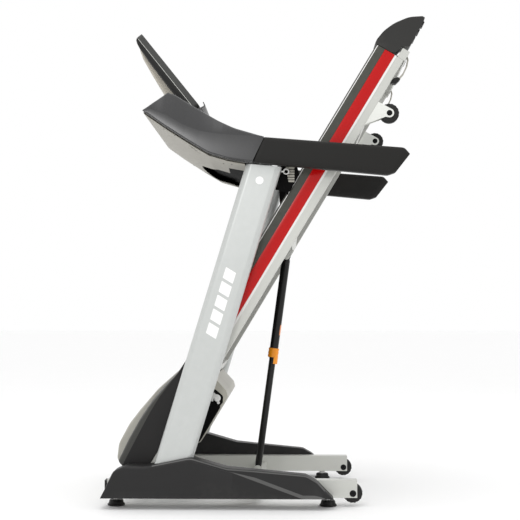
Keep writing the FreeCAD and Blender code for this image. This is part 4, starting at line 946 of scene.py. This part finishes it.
def handGrip(word):
    values = gripValues
    centreY = (reach("handrail_" + word, 1, 0) + reach("handrail_" + word, 1, 1)) / 2
    tops = along(softOutline(gripTop, closed=False, steps=10), 70)
    lows = along(softOutline(gripLow, closed=False, steps=10), 70)
    rings = []
    for index, (low, top) in enumerate(zip(lows, tops)):
        left = (len(tops) - 1 - index) / (len(tops) - 1) * 460
        tuck = 1 - 0.16 * (1 - ease(left, 0, 26)) ** 2
        seam = 1 - 0.05 * (1 - ease(460 - left, 0, 5))
        rings.append(gripRing(low, top, values["half"] * min(tuck, seam), values["squareness"], centreY))
    form = bmesh.new()
    loft(form, rings)
    makePiece("handGrip_" + word, form, standSpace, "base", "gripSkin",
              ("handrail_" + word,), smooth=50, bevel=2.5)


cheekTop = ((-358, 1185), (-284, 1243, 9), (-262, 1235, 30), (-221, 1209), (-131, 1155, 200),
            (-84, 1132, 200), (6, 1105))
cheekLow = ((-358, 1185), (-293, 1139), (-220, 1092, 200), (-160, 1056, 90), (-102, 1039, 120),
            (-48, 1031), (-27, 1029))
cheekCrease = ((-358, 1185), (-340, 1192), (-329, 1190), (-287, 1173), (-260, 1158), (-227, 1140),
               (-185, 1125), (-137, 1117), (-86, 1112), (-36, 1109), (6, 1104))
cheekValues = {"half": 21, "lean": 15, "round": 5, "seamGap": 0.3}


def consoleCheek(form, side):
    values = cheekValues
    centreY = side * (abs(reach("console_cheeks", 1, 0)) - values["half"])
    out, inner = centreY + side * values["half"], centreY - side * values["half"]
    tops = softOutline(cheekTop, closed=False)
    lows = softOutline(cheekLow, closed=False)
    rings = []
    count = 90
    for step in range(count):
        t = step / (count - 1)
        baseX = -357.4 + t * (357.4 - 27 - values["seamGap"])
        topX = baseX + (33 if t > 0.999 else 33 * ease(t, 0.55, 1.0))
        top, low = heightAt(tops, topX), heightAt(lows, baseX)
        top = max(top, low + 1.0)
        tall = top - low
        crease = min(max(heightAt(cheekCrease, (baseX + topX) / 2), low + tall * 0.2), top - 1.0)
        share = (crease - low) / tall
        creaseX = baseX + (topX - baseX) * share
        soft = min(values["round"], tall * 0.2)
        lean = values["lean"] * ease(top - crease, 2, 60)
        ring = [(baseX, inner, low), (baseX, out - side * soft, low),
                (baseX, out - side * soft * 0.3, low + soft * 0.3), (baseX, out, low + soft),
                (creaseX, out, max(crease - 3, low + soft + 0.1)),
                (creaseX, out - side * 0.5, max(crease, low + soft + 0.2)),
                (topX, out - side * (lean + 0.6), max(top - soft, crease + 0.3)),
                (topX, out - side * (lean + soft * 0.5), top - soft * 0.25),
                (topX, out - side * (lean + soft * 1.4), top), (topX, inner, top)]
        rings.append(ring)
    loft(form, rings)


def consoleCheeks():
    form = bmesh.new()
    for side in (-1, 1):
        consoleCheek(form, side)
    makePiece("consoleCheeks", form, standSpace, "base", "consoleCharcoal",
              ("console_cheeks",), smooth=11)


for sideWord, sideSign in sides:
    handGrip(sideWord)
consoleCheeks()
print("handrails and cheeks done")


cheekSeam = ((-357.5, 1183.9), (-293, 1138.4), (-220, 1091.4), (-160, 1055.4), (-102, 1038.4),
             (-52, 1029.4))
bellyDepth = ((-357.5, 3), (-340, 6), (-294, 10), (-222, 18), (-171, 23), (-92, 24), (-52, 24))
panValues = {"half": 345, "front": -357.3, "rear": -52, "flat": 95, "rim": 4.5, "wall": 2.6,
             "mouth": -205, "mouthHalf": 168, "notchAt": -105, "notchHalf": 246}


def panBottom(x, y):
    # underside height of the pan: full depth in the middle, shallow at its sides
    values = panValues
    share = 1 - min(max((abs(y) - values["flat"]) / (values["half"] - values["flat"]), 0), 1)
    rim = min(values["rim"], heightAt(bellyDepth, x))
    return heightAt(cheekSeam, x) - rim - (heightAt(bellyDepth, x) - rim) * share


def mouthEdge(y):
    # where the opening behind the pan begins at this distance from the middle
    values = panValues
    if abs(y) >= values["notchHalf"]:
        return values["rear"]
    if abs(y) >= values["mouthHalf"]:
        return values["notchAt"]
    return values["mouth"] + 62 * (abs(y) / values["mouthHalf"]) ** 2.2


def consolePan():
    values = panValues
    form = bmesh.new()
    half, wall, front, rear = values["half"], values["wall"], values["front"], values["rear"]
    stops = [-half, -half + 3, -320, -296, -270, -values["notchHalf"], -values["notchHalf"] + 0.2, -220,
             -195, -values["mouthHalf"], -values["mouthHalf"] + 0.2]
    stops += [-150 + k * 15 for k in range(11)]
    stops = stops + [-y for y in stops[::-1]][1:]
    columns = 46
    outer, inner = [], []
    for y in stops:
        end = mouthEdge(y)
        low, high = [], []
        for k in range(columns):
            x = front + (end - front) * k / (columns - 1)
            seam = heightAt(cheekSeam, x)
            bottom = panBottom(x, y)
            if abs(abs(y) - half) < 0.01:
                bottom = min(bottom + 1.2, seam - 0.4)
            low.append(form.verts.new((x, y, bottom)))
            high.append(form.verts.new((x, y, min(bottom + wall, seam))))
        outer.append(low)
        inner.append(high)
    for r in range(len(stops) - 1):
        for k in range(columns - 1):
            addFace(form, (outer[r][k], outer[r][k + 1], outer[r + 1][k + 1], outer[r + 1][k]))
            addFace(form, (inner[r][k], inner[r + 1][k], inner[r + 1][k + 1], inner[r][k + 1]))
        for k in (0, columns - 1):
            addFace(form, (outer[r][k], outer[r + 1][k], inner[r + 1][k], inner[r][k]))
    for r in (0, len(stops) - 1):
        for k in range(columns - 1):
            addFace(form, (outer[r][k], inner[r][k], inner[r][k + 1], outer[r][k + 1]))
    for side in (-1, 1):
        for k in range(columns - 1):
            x, after = (front + (rear - front) * step / (columns - 1) for step in (k, k + 1))
            corners = [(x, panBottom(x, half) + 0.5), (after, panBottom(after, half) + 0.5),
                       (after, heightAt(cheekSeam, after)), (x, heightAt(cheekSeam, x))]
            addFace(form, [form.verts.new((at, side * half, z)) for at, z in corners])
    makePiece("consolePan", form, standSpace, "base", "consoleStone",
              ("console_lower_shell",), smooth=32)


def consolePaintedShade():
    # painted shade: a near-black sheet for the dark inside of the console, seen through the opening behind
    # the pan
    form = bmesh.new()
    outline = [Vector(p) for p in cheekSeam] + [Vector((-52, 1036)), Vector((-102, 1044)),
                                                Vector((-160, 1060)), Vector((-293, 1144))]
    prism(form, [p + Vector((0, 1.5)) for p in outline], -326, 326)
    makePiece("consolePaintedShade", form, standSpace, "base", "shadowBlack", smooth=30)
    form = bmesh.new()
    for side in (-1, 1):
        for start, end, y in ((-223, -205, 318), (-216, -198, 306), (-206, -190, 294)):
            stops = [start + (end - start) * k / 4 for k in range(5)]
            for pair in zip(stops, stops[1:]):
                rings = []
                for x in pair:
                    bottom = panBottom(x, y)
                    rings.append([(x, side * (y - 1.4), bottom - 0.25), (x, side * (y + 1.4), bottom - 0.25),
                                  (x, side * (y + 1.4), bottom + 0.8), (x, side * (y - 1.4), bottom + 0.8)])
                loft(form, rings)
        for x, y in ((-297, 322), (-262, 338), (-118, 292), (-92, 310)):
            turned(form, [(0.01, panBottom(x, y) - 0.3), (2.6, panBottom(x, y) - 0.3),
                          (2.6, panBottom(x, y) + 1), (0.01, panBottom(x, y) + 1)], (x, side * y, 0), "z", 18)
    makePiece("panSlots", form, standSpace, "base", "shadowBlack", smooth=35)


consolePan()
consolePaintedShade()


cupValues = {"at": (-50, 1092), "hang": 25.4, "lean": 13.54, "out": 232}


def cupLiner():
    # a soft ribbed mat in the bottom of each cup
    values = cupValues
    profile = [(0.01, 2.4), (30, 2.4)]
    for k in range(6):
        profile += [(30 - k * 5, 3.4), (28 - k * 5, 3.4), (27.5 - k * 5, 2.9), (25.5 - k * 5, 2.9)]
    profile.append((0.01, 2.9))
    form = bmesh.new()
    for side in (-1, 1):
        turned(form, profile, (0, side * values["out"], 0), "z", 40)
    lean = math.radians(values["lean"])
    space = leaningSpace(values["at"][0] - values["hang"] * math.sin(lean),
                         values["at"][1] - values["hang"] * math.cos(lean), values["lean"])
    makePiece("cupMats", form, space, "base", "footRubber", smooth=30)


recast("console_upper_shell", "base", "consoleCharcoal", 1.6)
recast("cup_holders", "base", "shadowBlack", 0.6)
cupLiner()
recast("console_frame", "base", "strutBlack", 1.5)
print("console done")


keypadValues = {"at": (-212, 1191.9), "fall": 30.97, "capAlong": 44}
capMarks = {"start_button": "triangle", "stop_button": "square", "slower_button": "minus",
            "faster_button": "plus", "menu_button": "dots"}


def keypadSpace():
    return leaningSpace(keypadValues["at"][0], keypadValues["at"][1], keypadValues["fall"])


def markShapes(kind):
    if kind == "triangle":
        return [[(-4.5, -4.5), (4.5, -4.5), (0, 5.5)]]
    if kind == "square":
        return [[(-4.2, -4.2), (4.2, -4.2), (4.2, 4.2), (-4.2, 4.2)]]
    if kind == "minus":
        return [[(-1.1, -5), (1.1, -5), (1.1, 5), (-1.1, 5)]]
    if kind == "plus":
        return [[(-1.1, -5), (1.1, -5), (1.1, -1.1), (5, -1.1), (5, 1.1), (1.1, 1.1), (1.1, 5), (-1.1, 5),
                 (-1.1, 1.1), (-5, 1.1), (-5, -1.1), (-1.1, -1.1)]]
    return [[(1.3 * math.cos(a / 8 * math.pi), y + 1.3 * math.sin(a / 8 * math.pi)) for a in range(16)]
            for y in (-4.2, 0, 4.2)]


def keyCap(node, mark):
    space = keypadSpace()
    centre = boxMiddle(node, space)
    x, y = keypadValues["capAlong"], centre.y
    form = bmesh.new()
    turned(form, [(0.01, 2.3), (13, 2.3), (13, 6.3), (12.4, 7.1), (11.2, 7.5), (6, 7.15), (0.01, 7.0)],
           (x, y, 0), "z", 56)
    finish = {"start_button": "hoodStone", "stop_button": "keyRed"}.get(node, "markGrey")
    makePiece(node + "_cap", form, space, node, finish, (node,), smooth=32)
    form = bmesh.new()
    for shape in markShapes(mark):
        rings = [[form.verts.new((x + a, y + b, z)) for a, b in shape] for z in (6.9, 7.32)]
        for ring in rings:
            addFace(form, ring)
        for i in range(len(shape)):
            j = (i + 1) % len(shape)
            addFace(form, (rings[0][i], rings[0][j], rings[1][j], rings[1][i]))
    ink = "stickerWhite" if node == "stop_button" else "shadowBlack"
    makePiece(node + "_mark", form, space, node, ink, smooth=30)


recast("keypad", "base", "capCharcoal", 1.2)
for buttonNode, buttonMark in capMarks.items():
    keyCap(buttonNode, buttonMark)


def safetyKey():
    form = bmesh.new()
    turned(form, [(0.01, 1120.4), (8, 1120.4), (8, 1123), (9.5, 1123.4), (9.5, 1125), (0.01, 1125)],
           (-75, 0, 0), "z", 36)
    grip = softOutline([(-83, 1124.4, 1.5), (-67, 1124.4, 1.5), (-69.5, 1131, 4), (-68, 1137, 3),
                        (-82, 1137, 3), (-80.5, 1131, 4)], steps=4)
    prism(form, grip, -13, 13)
    makePiece("safetyKey", form, standSpace, "safety_key", "keyRed", ("safety_key",),
              bevel=1.4)


safetyKey()
print("keypad done")


panelValues = {"at": (-204, 1239.5), "lean": -38.6, "half": 150, "tall": 302, "thick": 18, "rim": 40,
               "corner": 14, "border": 18, "chin": 40}


def roundedPanel(half, low, high, radius):
    return softOutline([(-half, low, radius), (half, low, radius), (half, high, radius),
                        (-half, high, radius)], steps=8)


def frameRing(form, outer, inner, back, front, material=0):
    # a flat frame between two outlines of equal count, drawn in yz
    rings = [[(x, y, z) for y, z in outline] for x, outline in
             ((back, outer), (front, outer), (front, inner), (back, inner))]
    made = [[form.verts.new(p) for p in ring] for ring in rings]
    count = len(outer)
    for r in range(4):
        here, there = made[r], made[(r + 1) % 4]
        for i in range(count):
            j = (i + 1) % count
            addFace(form, (here[i], here[j], there[j], there[i]), material)


def displayPanel():
    values = panelValues
    space = leaningSpace(*values["at"], values["lean"])
    half, tall, corner = values["half"], values["tall"], values["corner"]
    form = bmesh.new()
    outer = roundedPanel(half, 0, tall, corner)
    window = roundedPanel(half - values["border"], values["chin"], tall - values["border"], 4)
    frameRing(form, outer, window, -values["thick"], 0)
    prism(form, roundedPanel(half - 0.7, 0.7, tall - 0.7, corner), -values["thick"] + 0.4, -5, 0, "yz")
    makePiece("displayBezel", form, space, "base", "panelCharcoal",
              ("display_bezel",), bevel=1.6)
    form = bmesh.new()
    front = -values["thick"] - 1.2
    outline = softOutline([(front, 2), (front, tall - 2), (-20, tall - 2, 1), (-26.5, tall - 5, 5),
                           (-31, tall - 16, 12), (-34, tall - 32, 30), (-38, 200, 60), (-40, 120),
                           (-40, 2, 4)])
    rings = []
    for y, shrink in ((2 - half, 9), (4 - half, 4.5), (7.5 - half, 1.2), (13 - half, 0), (half - 13, 0),
                      (half - 7.5, 1.2), (half - 4, 4.5), (half - 2, 9)):
        rings.append([(min(x + shrink, front), y, z) for x, z in outline])
    loft(form, rings)
    makePiece("displayRim", form, space, "base", "panelDark", smooth=40)
    form = bmesh.new()
    prism(form, roundedPanel(half - 1.2, 1.2, tall - 1.2, corner), -values["thick"] - 1.6,
          -values["thick"] + 0.1, 0, "yz")
    makePiece("displaySeam", form, space, "base", "frameSilver", bevel=0.3)
    form = bmesh.new()
    glass = roundedPanel(half - values["border"] - 0.3, values["chin"] + 0.3,
                         tall - values["border"] - 0.3, 4)
    prism(form, glass, -4, -1.1, 0, "yz")
    makePiece("displayGlass", form, space, "base", "screenGlass", ("display_screen",),
              bevel=0.4)
    form = bmesh.new()
    rim = values["rim"]
    outline = softOutline([(6 - rim, 34), (8 - rim, 272, 2), (4 - rim, 271, 3), (-rim - 6, 240, 60),
                           (-rim - 17, 160, 90), (-rim - 24.4, 50.5, 20), (-rim - 3, -14.5, 6),
                           (-rim - 0.5, -12)])
    rings = []
    for y, shrink in ((-115, 5), (-112, 2), (-106, 0), (106, 0), (112, 2), (115, 5)):
        rings.append([(min(x + shrink, 8 - rim), y, z) for x, z in outline])
    loft(form, rings)
    makePiece("displayBack", form, space, "base", "panelStone", ("display_back",),
              smooth=35)
    form = bmesh.new()
    for k in range(7):
        z = 96 + k * 12
        back = -rim - heightAt(((50.5, 24.4), (145, 17), (234, 10)), z + 2)
        block(form, (back - 0.4, -60, z), (back + 3, 60, z + 4))
    makePiece("displayVents", form, space, "base", "shadowBlack", smooth=30)
    form = bmesh.new()
    ledge = softOutline([(0, -3), (17, -6, 4), (20, 9, 1), (17, 9.5, 1), (14.5, -2, 4), (0, 1)], steps=4)
    prism(form, ledge, -118, 118)
    makePiece("tabletLedge", form, space, "base", "consoleCharcoal",
              ("tablet_ledge",), bevel=0.6)


displayPanel()
print("display done")


def wrap(form, inner, outer, low, high, spread, steps=18):
    # a saddle wrapped round the rear of the strut between two heights
    rings = []
    for step in range(steps + 1):
        angle = math.radians(-spread + 2 * spread * step / steps)
        ring = []
        for radius, z in ((inner, low), (outer, low), (outer, high), (inner, high)):
            ring.append((radius * math.cos(angle), radius * math.sin(angle), z))
        rings.append(ring)
    loft(form, rings)


def strutPieces():
    foot = Vector(joints["strut_swing"]["pos_m"])
    run = Vector(joints["strut_slide"]["axis"]).normalized()
    side = run.cross(Vector((0, 1, 0)))
    space = Matrix(((-side.x * mm, 0, run.x * mm, foot.x), (0, mm, 0, 0),
                    (-side.z * mm, 0, run.z * mm, foot.z), (0, 0, 0, 1)))
    long = 701.06
    rodEnd, tubeStart = 391, 364
    form = bmesh.new()
    turned(form, [(6.1, -13), (11.5, -13), (11.5, -9), (11.5, 9), (11.5, 13), (6.1, 13)], (0, 0, 0), "y",
           40, 0, True)
    turned(form, [(0.01, 4), (9.5, 7), (11, 14), (11, rodEnd - 1), (10, rodEnd), (0.01, rodEnd)],
           (0, 0, 0), "z", 40)
    makePiece("strutRod", form, space, "strut_rod", "strutBlack", ("strut_lower",),
              smooth=32)
    form = bmesh.new()
    turned(form, [(11.1, tubeStart), (13.2, tubeStart), (14, tubeStart + 0.8), (14, long - 16),
                  (12.5, long - 9), (11.1, long - 24), (11.1, tubeStart + 1)], (0, 0, 0), "z", 48, 0, True)
    turned(form, [(7.1, -13), (12.8, -13), (14, -11.8), (14, 11.8), (12.8, 13), (7.1, 13)],
           (0, 0, long), "y", 48, 0, True)
    makePiece("strutTube", form, space, "strut_sleeve", "strutBlack", ("strut_upper",),
              smooth=32)
    form = bmesh.new()
    low = tubeStart + 2
    profile = [(14.35, low), (16.2, low), (17, low + 0.9), (17, low + 7), (16.2, low + 8), (16.2, low + 10),
               (17, low + 11), (17, low + 19), (16.2, low + 20), (16.2, low + 22), (17, low + 23),
               (17, low + 29.1), (16.2, low + 30), (14.35, low + 30)]
    turned(form, profile, (0, 0, 0), "z", 48, 0, True)
    wrap(form, 14.5, 17.2, tubeStart - 19, low + 2, 78)
    makePiece("latchCollar", form, space, "latch", "latchOrange", ("latch_collar",),
              smooth=32)
    form = bmesh.new()
    wrap(form, 13.9, 14.3, 440, 474, 40)
    makePiece("strutLabel", form, space, "strut_sleeve", "labelOrange", smooth=32)


strutPieces()
print("strut done")


for sideWord, sideSign in sides:
    recast("deck_rail_" + sideWord, "deck", "frameSilver", 2.4)
recast("deck_crossmembers", "deck", "frameSilver", 1.2)
recast("roller_axles", "deck", "zincSteel", 0.5)
recast("running_board", "deck", "boardLaminate", 1.2)
dress("deck_cushions", "footRubber")
dress("running_belt", "beltCloth")
recast("front_roller", "front_roller", "zincSteel", 0.8)
recast("rear_roller", "rear_roller", "zincSteel", 0.8)
recast("motor_rotor", "motor_rotor", "zincSteel", 0.6)
dress("drive_belt", "tyreRubber")


def motorCan():
    # a ribbed can with end bells
    centre = boxMiddle("motor", deckSpace)
    half = (reach("motor", 1, 1) - reach("motor", 1, 0)) / 2
    form = bmesh.new()
    profile = [(7.6, -half), (30, -half), (34, -half + 3), (35, -half + 20), (38, -half + 21)]
    for k in range(9):
        y = -half + 26 + k * 11
        profile += [(38, y), (36.6, y + 1.2), (36.6, y + 2.6), (38, y + 3.8)]
    profile += [(38, half - 21), (35, half - 20), (34, half - 3), (30, half), (7.6, half)]
    turned(form, profile, (centre.x, 0, centre.z), "y", 64, 0, True)
    makePiece("motorCan", form, deckSpace, "deck", "boltBlack", ("motor",), smooth=32)


motorCan()

railValues = {"start": 296, "end": 1424, "trimTop": 25.5, "ribs": 8}


def footRail(word, side):
    # an extrusion with a ribbed tread and a rounded outer shoulder
    values = railValues
    section = [(215, 38.5), (215, 48), (217, 49.5), (224, 51.5)]
    for rib in range(values["ribs"]):
        y = 227 + rib * 4.6
        z = 51.7 + rib * 0.35
        section += [(y, z), (y + 0.4, z - 1.6), (y + 1.8, z - 1.6), (y + 2.2, z + 0.1)]
    section += softOutline([(262, 54), (279.2, 57, 14), (290.1, 51, 7), (290.1, values["trimTop"] + 0.3)],
                           closed=False, steps=6)[1:]
    section += [(287.7, values["trimTop"] + 0.3), (287.7, 14), (267, 14), (267, 38.5)]
    form = bmesh.new()
    prism(form, [(side * y, z) for y, z in section], values["start"], values["end"], 0, "yz")
    makePiece("footRail_" + word, form, deckSpace, "deck", "railCharcoal",
              ("foot_rail_" + word,), smooth=30)


def sideTrims():
    # the glossy red strip, slightly crowned, with a pale line of painted highlight along its lower edge and
    # another along the foot rail's shoulder
    values = railValues
    form, line = bmesh.new(), bmesh.new()
    for side in (-1, 1):
        red = [(288.2, 25.3), (288.2, -9.3)]
        for k in range(9):
            t = k / 8
            red.append((289.5 + 0.85 * math.sin(math.pi * t) ** 0.6, -9.3 + 34.6 * t))
        prism(form, [(side * y, z) for y, z in red], values["start"], values["end"], 0, "yz")
        # painted highlight along the red strip's lower edge
        pale = [(288.2, -9.5), (288.2, -16.5), (289.3, -16.2), (289.7, -13), (289.3, -9.7)]
        prism(line, [(side * y, z) for y, z in pale], values["start"], values["end"], 0, "yz")
    for side in (-1, 1):
        # painted highlight along the foot rail's shoulder
        shoulderHighlight = [(289.4, 49.4), (290.4, 49.4), (290.5, 50.4), (289.4, 51.8), (288.6, 50)]
        prism(line, [(side * y, z) for y, z in shoulderHighlight], values["start"], values["end"] - 0.5, 0, "yz")
    makePiece("redStrips", form, deckSpace, "deck", "redTrim", ("deck_trims",), smooth=50)
    makePiece("highlightStrips", line, deckSpace, "deck", "pinstripe", smooth=50)


for sideWord, sideSign in sides:
    footRail(sideWord, sideSign)
sideTrims()

capValues = {"start": 1424.8, "out": 292, "inner": 215}


def endCap(word, side):
    start, out, inner = capValues["start"], capValues["out"], capValues["inner"]
    outline = softOutline([(start, 3), (start, 61, 1.5), (start + 14, 62.5, 20), (start + 46, 58, 90),
                           (start + 82, 43, 110), (start + 122, 14, 90), (start + 145, -20, 7),
                           (start + 146, -29, 4), (start + 137, -31, 1), (start + 60, -34.5, 3),
                           (start + 44, -34.5, 3), (start + 32.5, -14, 10), (start + 10, -10, 6)], steps=9)
    form = bmesh.new()
    prism(form, outline, *sorted((side * inner, side * out)))
    makePiece("endCap_" + word, form, deckSpace, "deck", "capCharcoal",
              ("end_cap_" + word,), bevel=4.5, bevelSteps=4)
    form = bmesh.new()
    for k in range(3):
        s = start + 70 + k * 27
        prism(form, softOutline([(s, -29, 1), (s, -36, 1.5), (s + 9, -35.5, 3), (s + 12, -29)]),
              *sorted((side * 236, side * (out - 3))))
    makePiece("endCapRibs_" + word, form, deckSpace, "deck", "panelDark", bevel=0.6)


for sideWord, sideSign in sides:
    endCap(sideWord, sideSign)


def stopLever():
    # the pale curved lever of the deck's rear stop, with its black tip
    form = bmesh.new()
    curve = [(1446, -44), (1438, -53), (1418, -60), (1392, -62.5), (1372, -59), (1364, -52)]
    backs = [(s + 1, n + 4.5) for s, n in curve[::-1]]
    outline = softOutline([(*p, 6) for p in curve] + [(*p, 4) for p in backs])
    prism(form, outline, -268, -246)
    prism(form, outline, 246, 268)
    makePiece("stopLever", form, deckSpace, "deck", "cradleStone", bevel=0.8)
    form = bmesh.new()
    tip = softOutline([(1374, -62, 3), (1354, -57, 4), (1350, -41, 2), (1364, -41, 2), (1376, -52, 3)])
    prism(form, tip, -271, -243)
    prism(form, tip, 243, 271)
    makePiece("stopLeverTip", form, deckSpace, "deck", "footRubber", bevel=1.5)


stopLever()


def wheelBrackets():
    centre = boxMiddle("deck_wheel_right", deckSpace)
    s, n = centre.x, centre.z
    low = -40
    form = bmesh.new()
    eye = []
    for k in range(13):
        angle = math.radians(-8 - 150 * k / 12)
        eye.append((s + 14 * math.cos(angle), n + 14 * math.sin(angle)))
    outline = [(s - 70, low), (s + 12, low)] + eye + softOutline(
        [(s - 16, n + 4), (s - 44, n + 26, 20), (s - 66, low - 2)], closed=False)
    for side in (-1, 1):
        middle = side * abs(centre.y)
        for offset in (-14.25, 14.25):
            prism(form, outline, middle + offset - 1.25, middle + offset + 1.25)
        block(form, (s - 68, middle - 13.5, low - 3), (s + 10, middle + 13.5, low))
        turned(form, [(5, middle - 17), (5, middle + 17)], (s, 0, n), "y", 24, 1)
        screwHead(form, (s, middle + 15.5, n), 1, 7, 3, "y", 1)
        screwHead(form, (s, middle - 15.5, n), -1, 7, 3, "y", 1)
    makePiece("wheelBrackets", form, deckSpace, "deck", ("bracketPale", "boltBlack"),
              ("deck_wheel_brackets",), smooth=32, bevel=0.5)


wheelBrackets()
print("deck frame done")


hoodTop = ((-72, 53), (-69, 74, 8), (4, 80), (70, 82), (134, 79, 90), (199, 69, 90), (255, 57.4, 20),
           (294, 56))
hoodFoot = ((-72, 52.5), (-60, 20), (-36, -14), (294, -16))
hoodRidge = ((-72, 52.8), (-63, 56), (-32, 58.5), (46, 63.5), (110, 67), (160, 66.5), (203, 62.5),
             (245, 56), (294, 54))


def hoodSides():
    # dark mouldings beside the pale centre, with a painted highlight in a lighter material along the rounded
    # shoulder of their front edge
    form = bmesh.new()
    out, inner = 290, reach("hood_centre", 1, 1) + 0.3
    tops = softOutline(hoodTop, closed=False)
    stations = [-71.8, -71, -70, -68.5, -66, -62, -57, -50] + [-44 + k * 8.2 for k in range(42)]
    for side in (-1, 1):
        rings = []
        for s in [s for s in stations if s < 293] + [294]:
            top, foot = heightAt(tops, s), heightAt(hoodFoot, s)
            ridge = min(max(heightAt(hoodRidge, s), foot + 0.2), top - 0.4)
            swell = 5 * ease(s, -72, -20) * ease(s, 290, 190)
            ring = [(side * (out - 1.6), foot), (side * out, foot + 0.1), (side * out, ridge - 0.1)]
            for k in range(1, 6):
                angle = math.pi / 2 * k / 5
                ring.append((side * (out - 15 * (1 - math.cos(angle))),
                             ridge + (top - ridge) * math.sin(angle)))
            ring += [(side * (out - 60), top + swell * 0.8), (side * inner, top + swell),
                     (side * inner, max(foot, min(14.3, top - 0.5))),
                     (side * (out - 1.6), max(foot, min(14.3, top - 0.6)))]
            rings.append([(s, y, n) for y, n in ring])
        # faces at spots 2 to 5, the rounded shoulder, take the painted highlight
        loft(form, rings, pick=lambda ring, spot: 1 if spot in (2, 3, 4, 5) else 0)
    makePiece("hoodSides", form, deckSpace, "deck", ("hoodCharcoal", "hoodPaintedHighlight"),
              ("hood_sides",), smooth=34)


def hoodCentre():
    form = bmesh.new()
    half = reach("hood_centre", 1, 1)
    outline = softOutline([(-72, 22), (-91, 60, 20), (-82, 86, 22), (-38, 106, 60), (30, 109, 120),
                           (84, 103, 150), (170, 89, 150), (250, 64, 60), (292, 47), (292, 44),
                           (62, 44), (40, 22)], steps=9)
    middle = Vector((40, 60))
    rings = []
    for y, tuck in ((-half, 6), (-half + 1.2, 3), (-half + 4, 0.6), (-half + 10, -0.8), (-half + 20, -1.6),
                    (-120, -4), (-60, -6.5), (0, -7.5), (60, -6.5), (120, -4), (half - 20, -1.6),
                    (half - 10, -0.8), (half - 4, 0.6), (half - 1.2, 3), (half, 6)):
        ring = []
        for point in outline:
            pull = tuck * ease(point.y, 20, 50)
            away = (point - middle).normalized()
            ring.append((point.x - away.x * pull, y, point.y - away.y * pull))
        rings.append(ring)
    loft(form, rings)
    makePiece("hoodCentre", form, deckSpace, "deck", "hoodStone", ("hood_centre",),
              smooth=40)


hoodSides()
hoodCentre()
recast("belly_pan", "deck", "cradleStone", 1.5)


def motorBay():
    # dark sheets on the pan's side that paint the shade in its cut-outs, and the bright motor parts that show
    # through them
    half = reach("belly_pan", 1, 1)
    form, bright = bmesh.new(), bmesh.new()
    window = softOutline([(226, -58, 2), (262, -58, 8), (266, -66, 8), (261, -97, 12), (243, -106, 6),
                          (230, -104)])
    lower = softOutline([(88.5, -42), (227, -42, 2), (231, -104, 3), (225, -107.2, 2), (106, -107.2, 8),
                         (92.5, -97, 6)])
    for side in (-1, 1):
        for outline in (window, lower):
            prism(form, outline, *sorted((side * (half - 0.6), side * (half + 0.5))))
        near = half + 0.3
        for s, n, radius, spread in ((246, -84, 11, 3.4), (249, -69, 6.5, 2.6), (236, -94, 5, 2.2)):
            turned(bright, [(0.01, side * near), (radius, side * near), (radius, side * (near + 0.8)),
                            (radius - spread, side * (near + 1.6)), (radius * 0.4, side * (near + 1.2)),
                            (0.01, side * (near + 1.2))], (s, 0, n), "y", 28)
        arm = softOutline([(228, -70, 3), (244, -62, 3), (258, -80, 5), (252, -86, 3), (240, -74, 5),
                           (230, -80, 3)])
        prism(bright, arm, *sorted((side * near, side * (near + 1.4))))
    makePiece("motorBayPaintedShade", form, deckSpace, "deck", "shadowBlack", smooth=30)
    makePiece("motorBayParts", bright, deckSpace, "deck", "zincSteel", bevel=0.4)


motorBay()
recast("power_inlet", "deck", "capCharcoal", 0.6)
recast("power_rocker", "power_rocker", "shadowBlack", 0.5)
recast("breaker_button", "breaker_button", "shadowBlack", 0.5)
print("hood done")
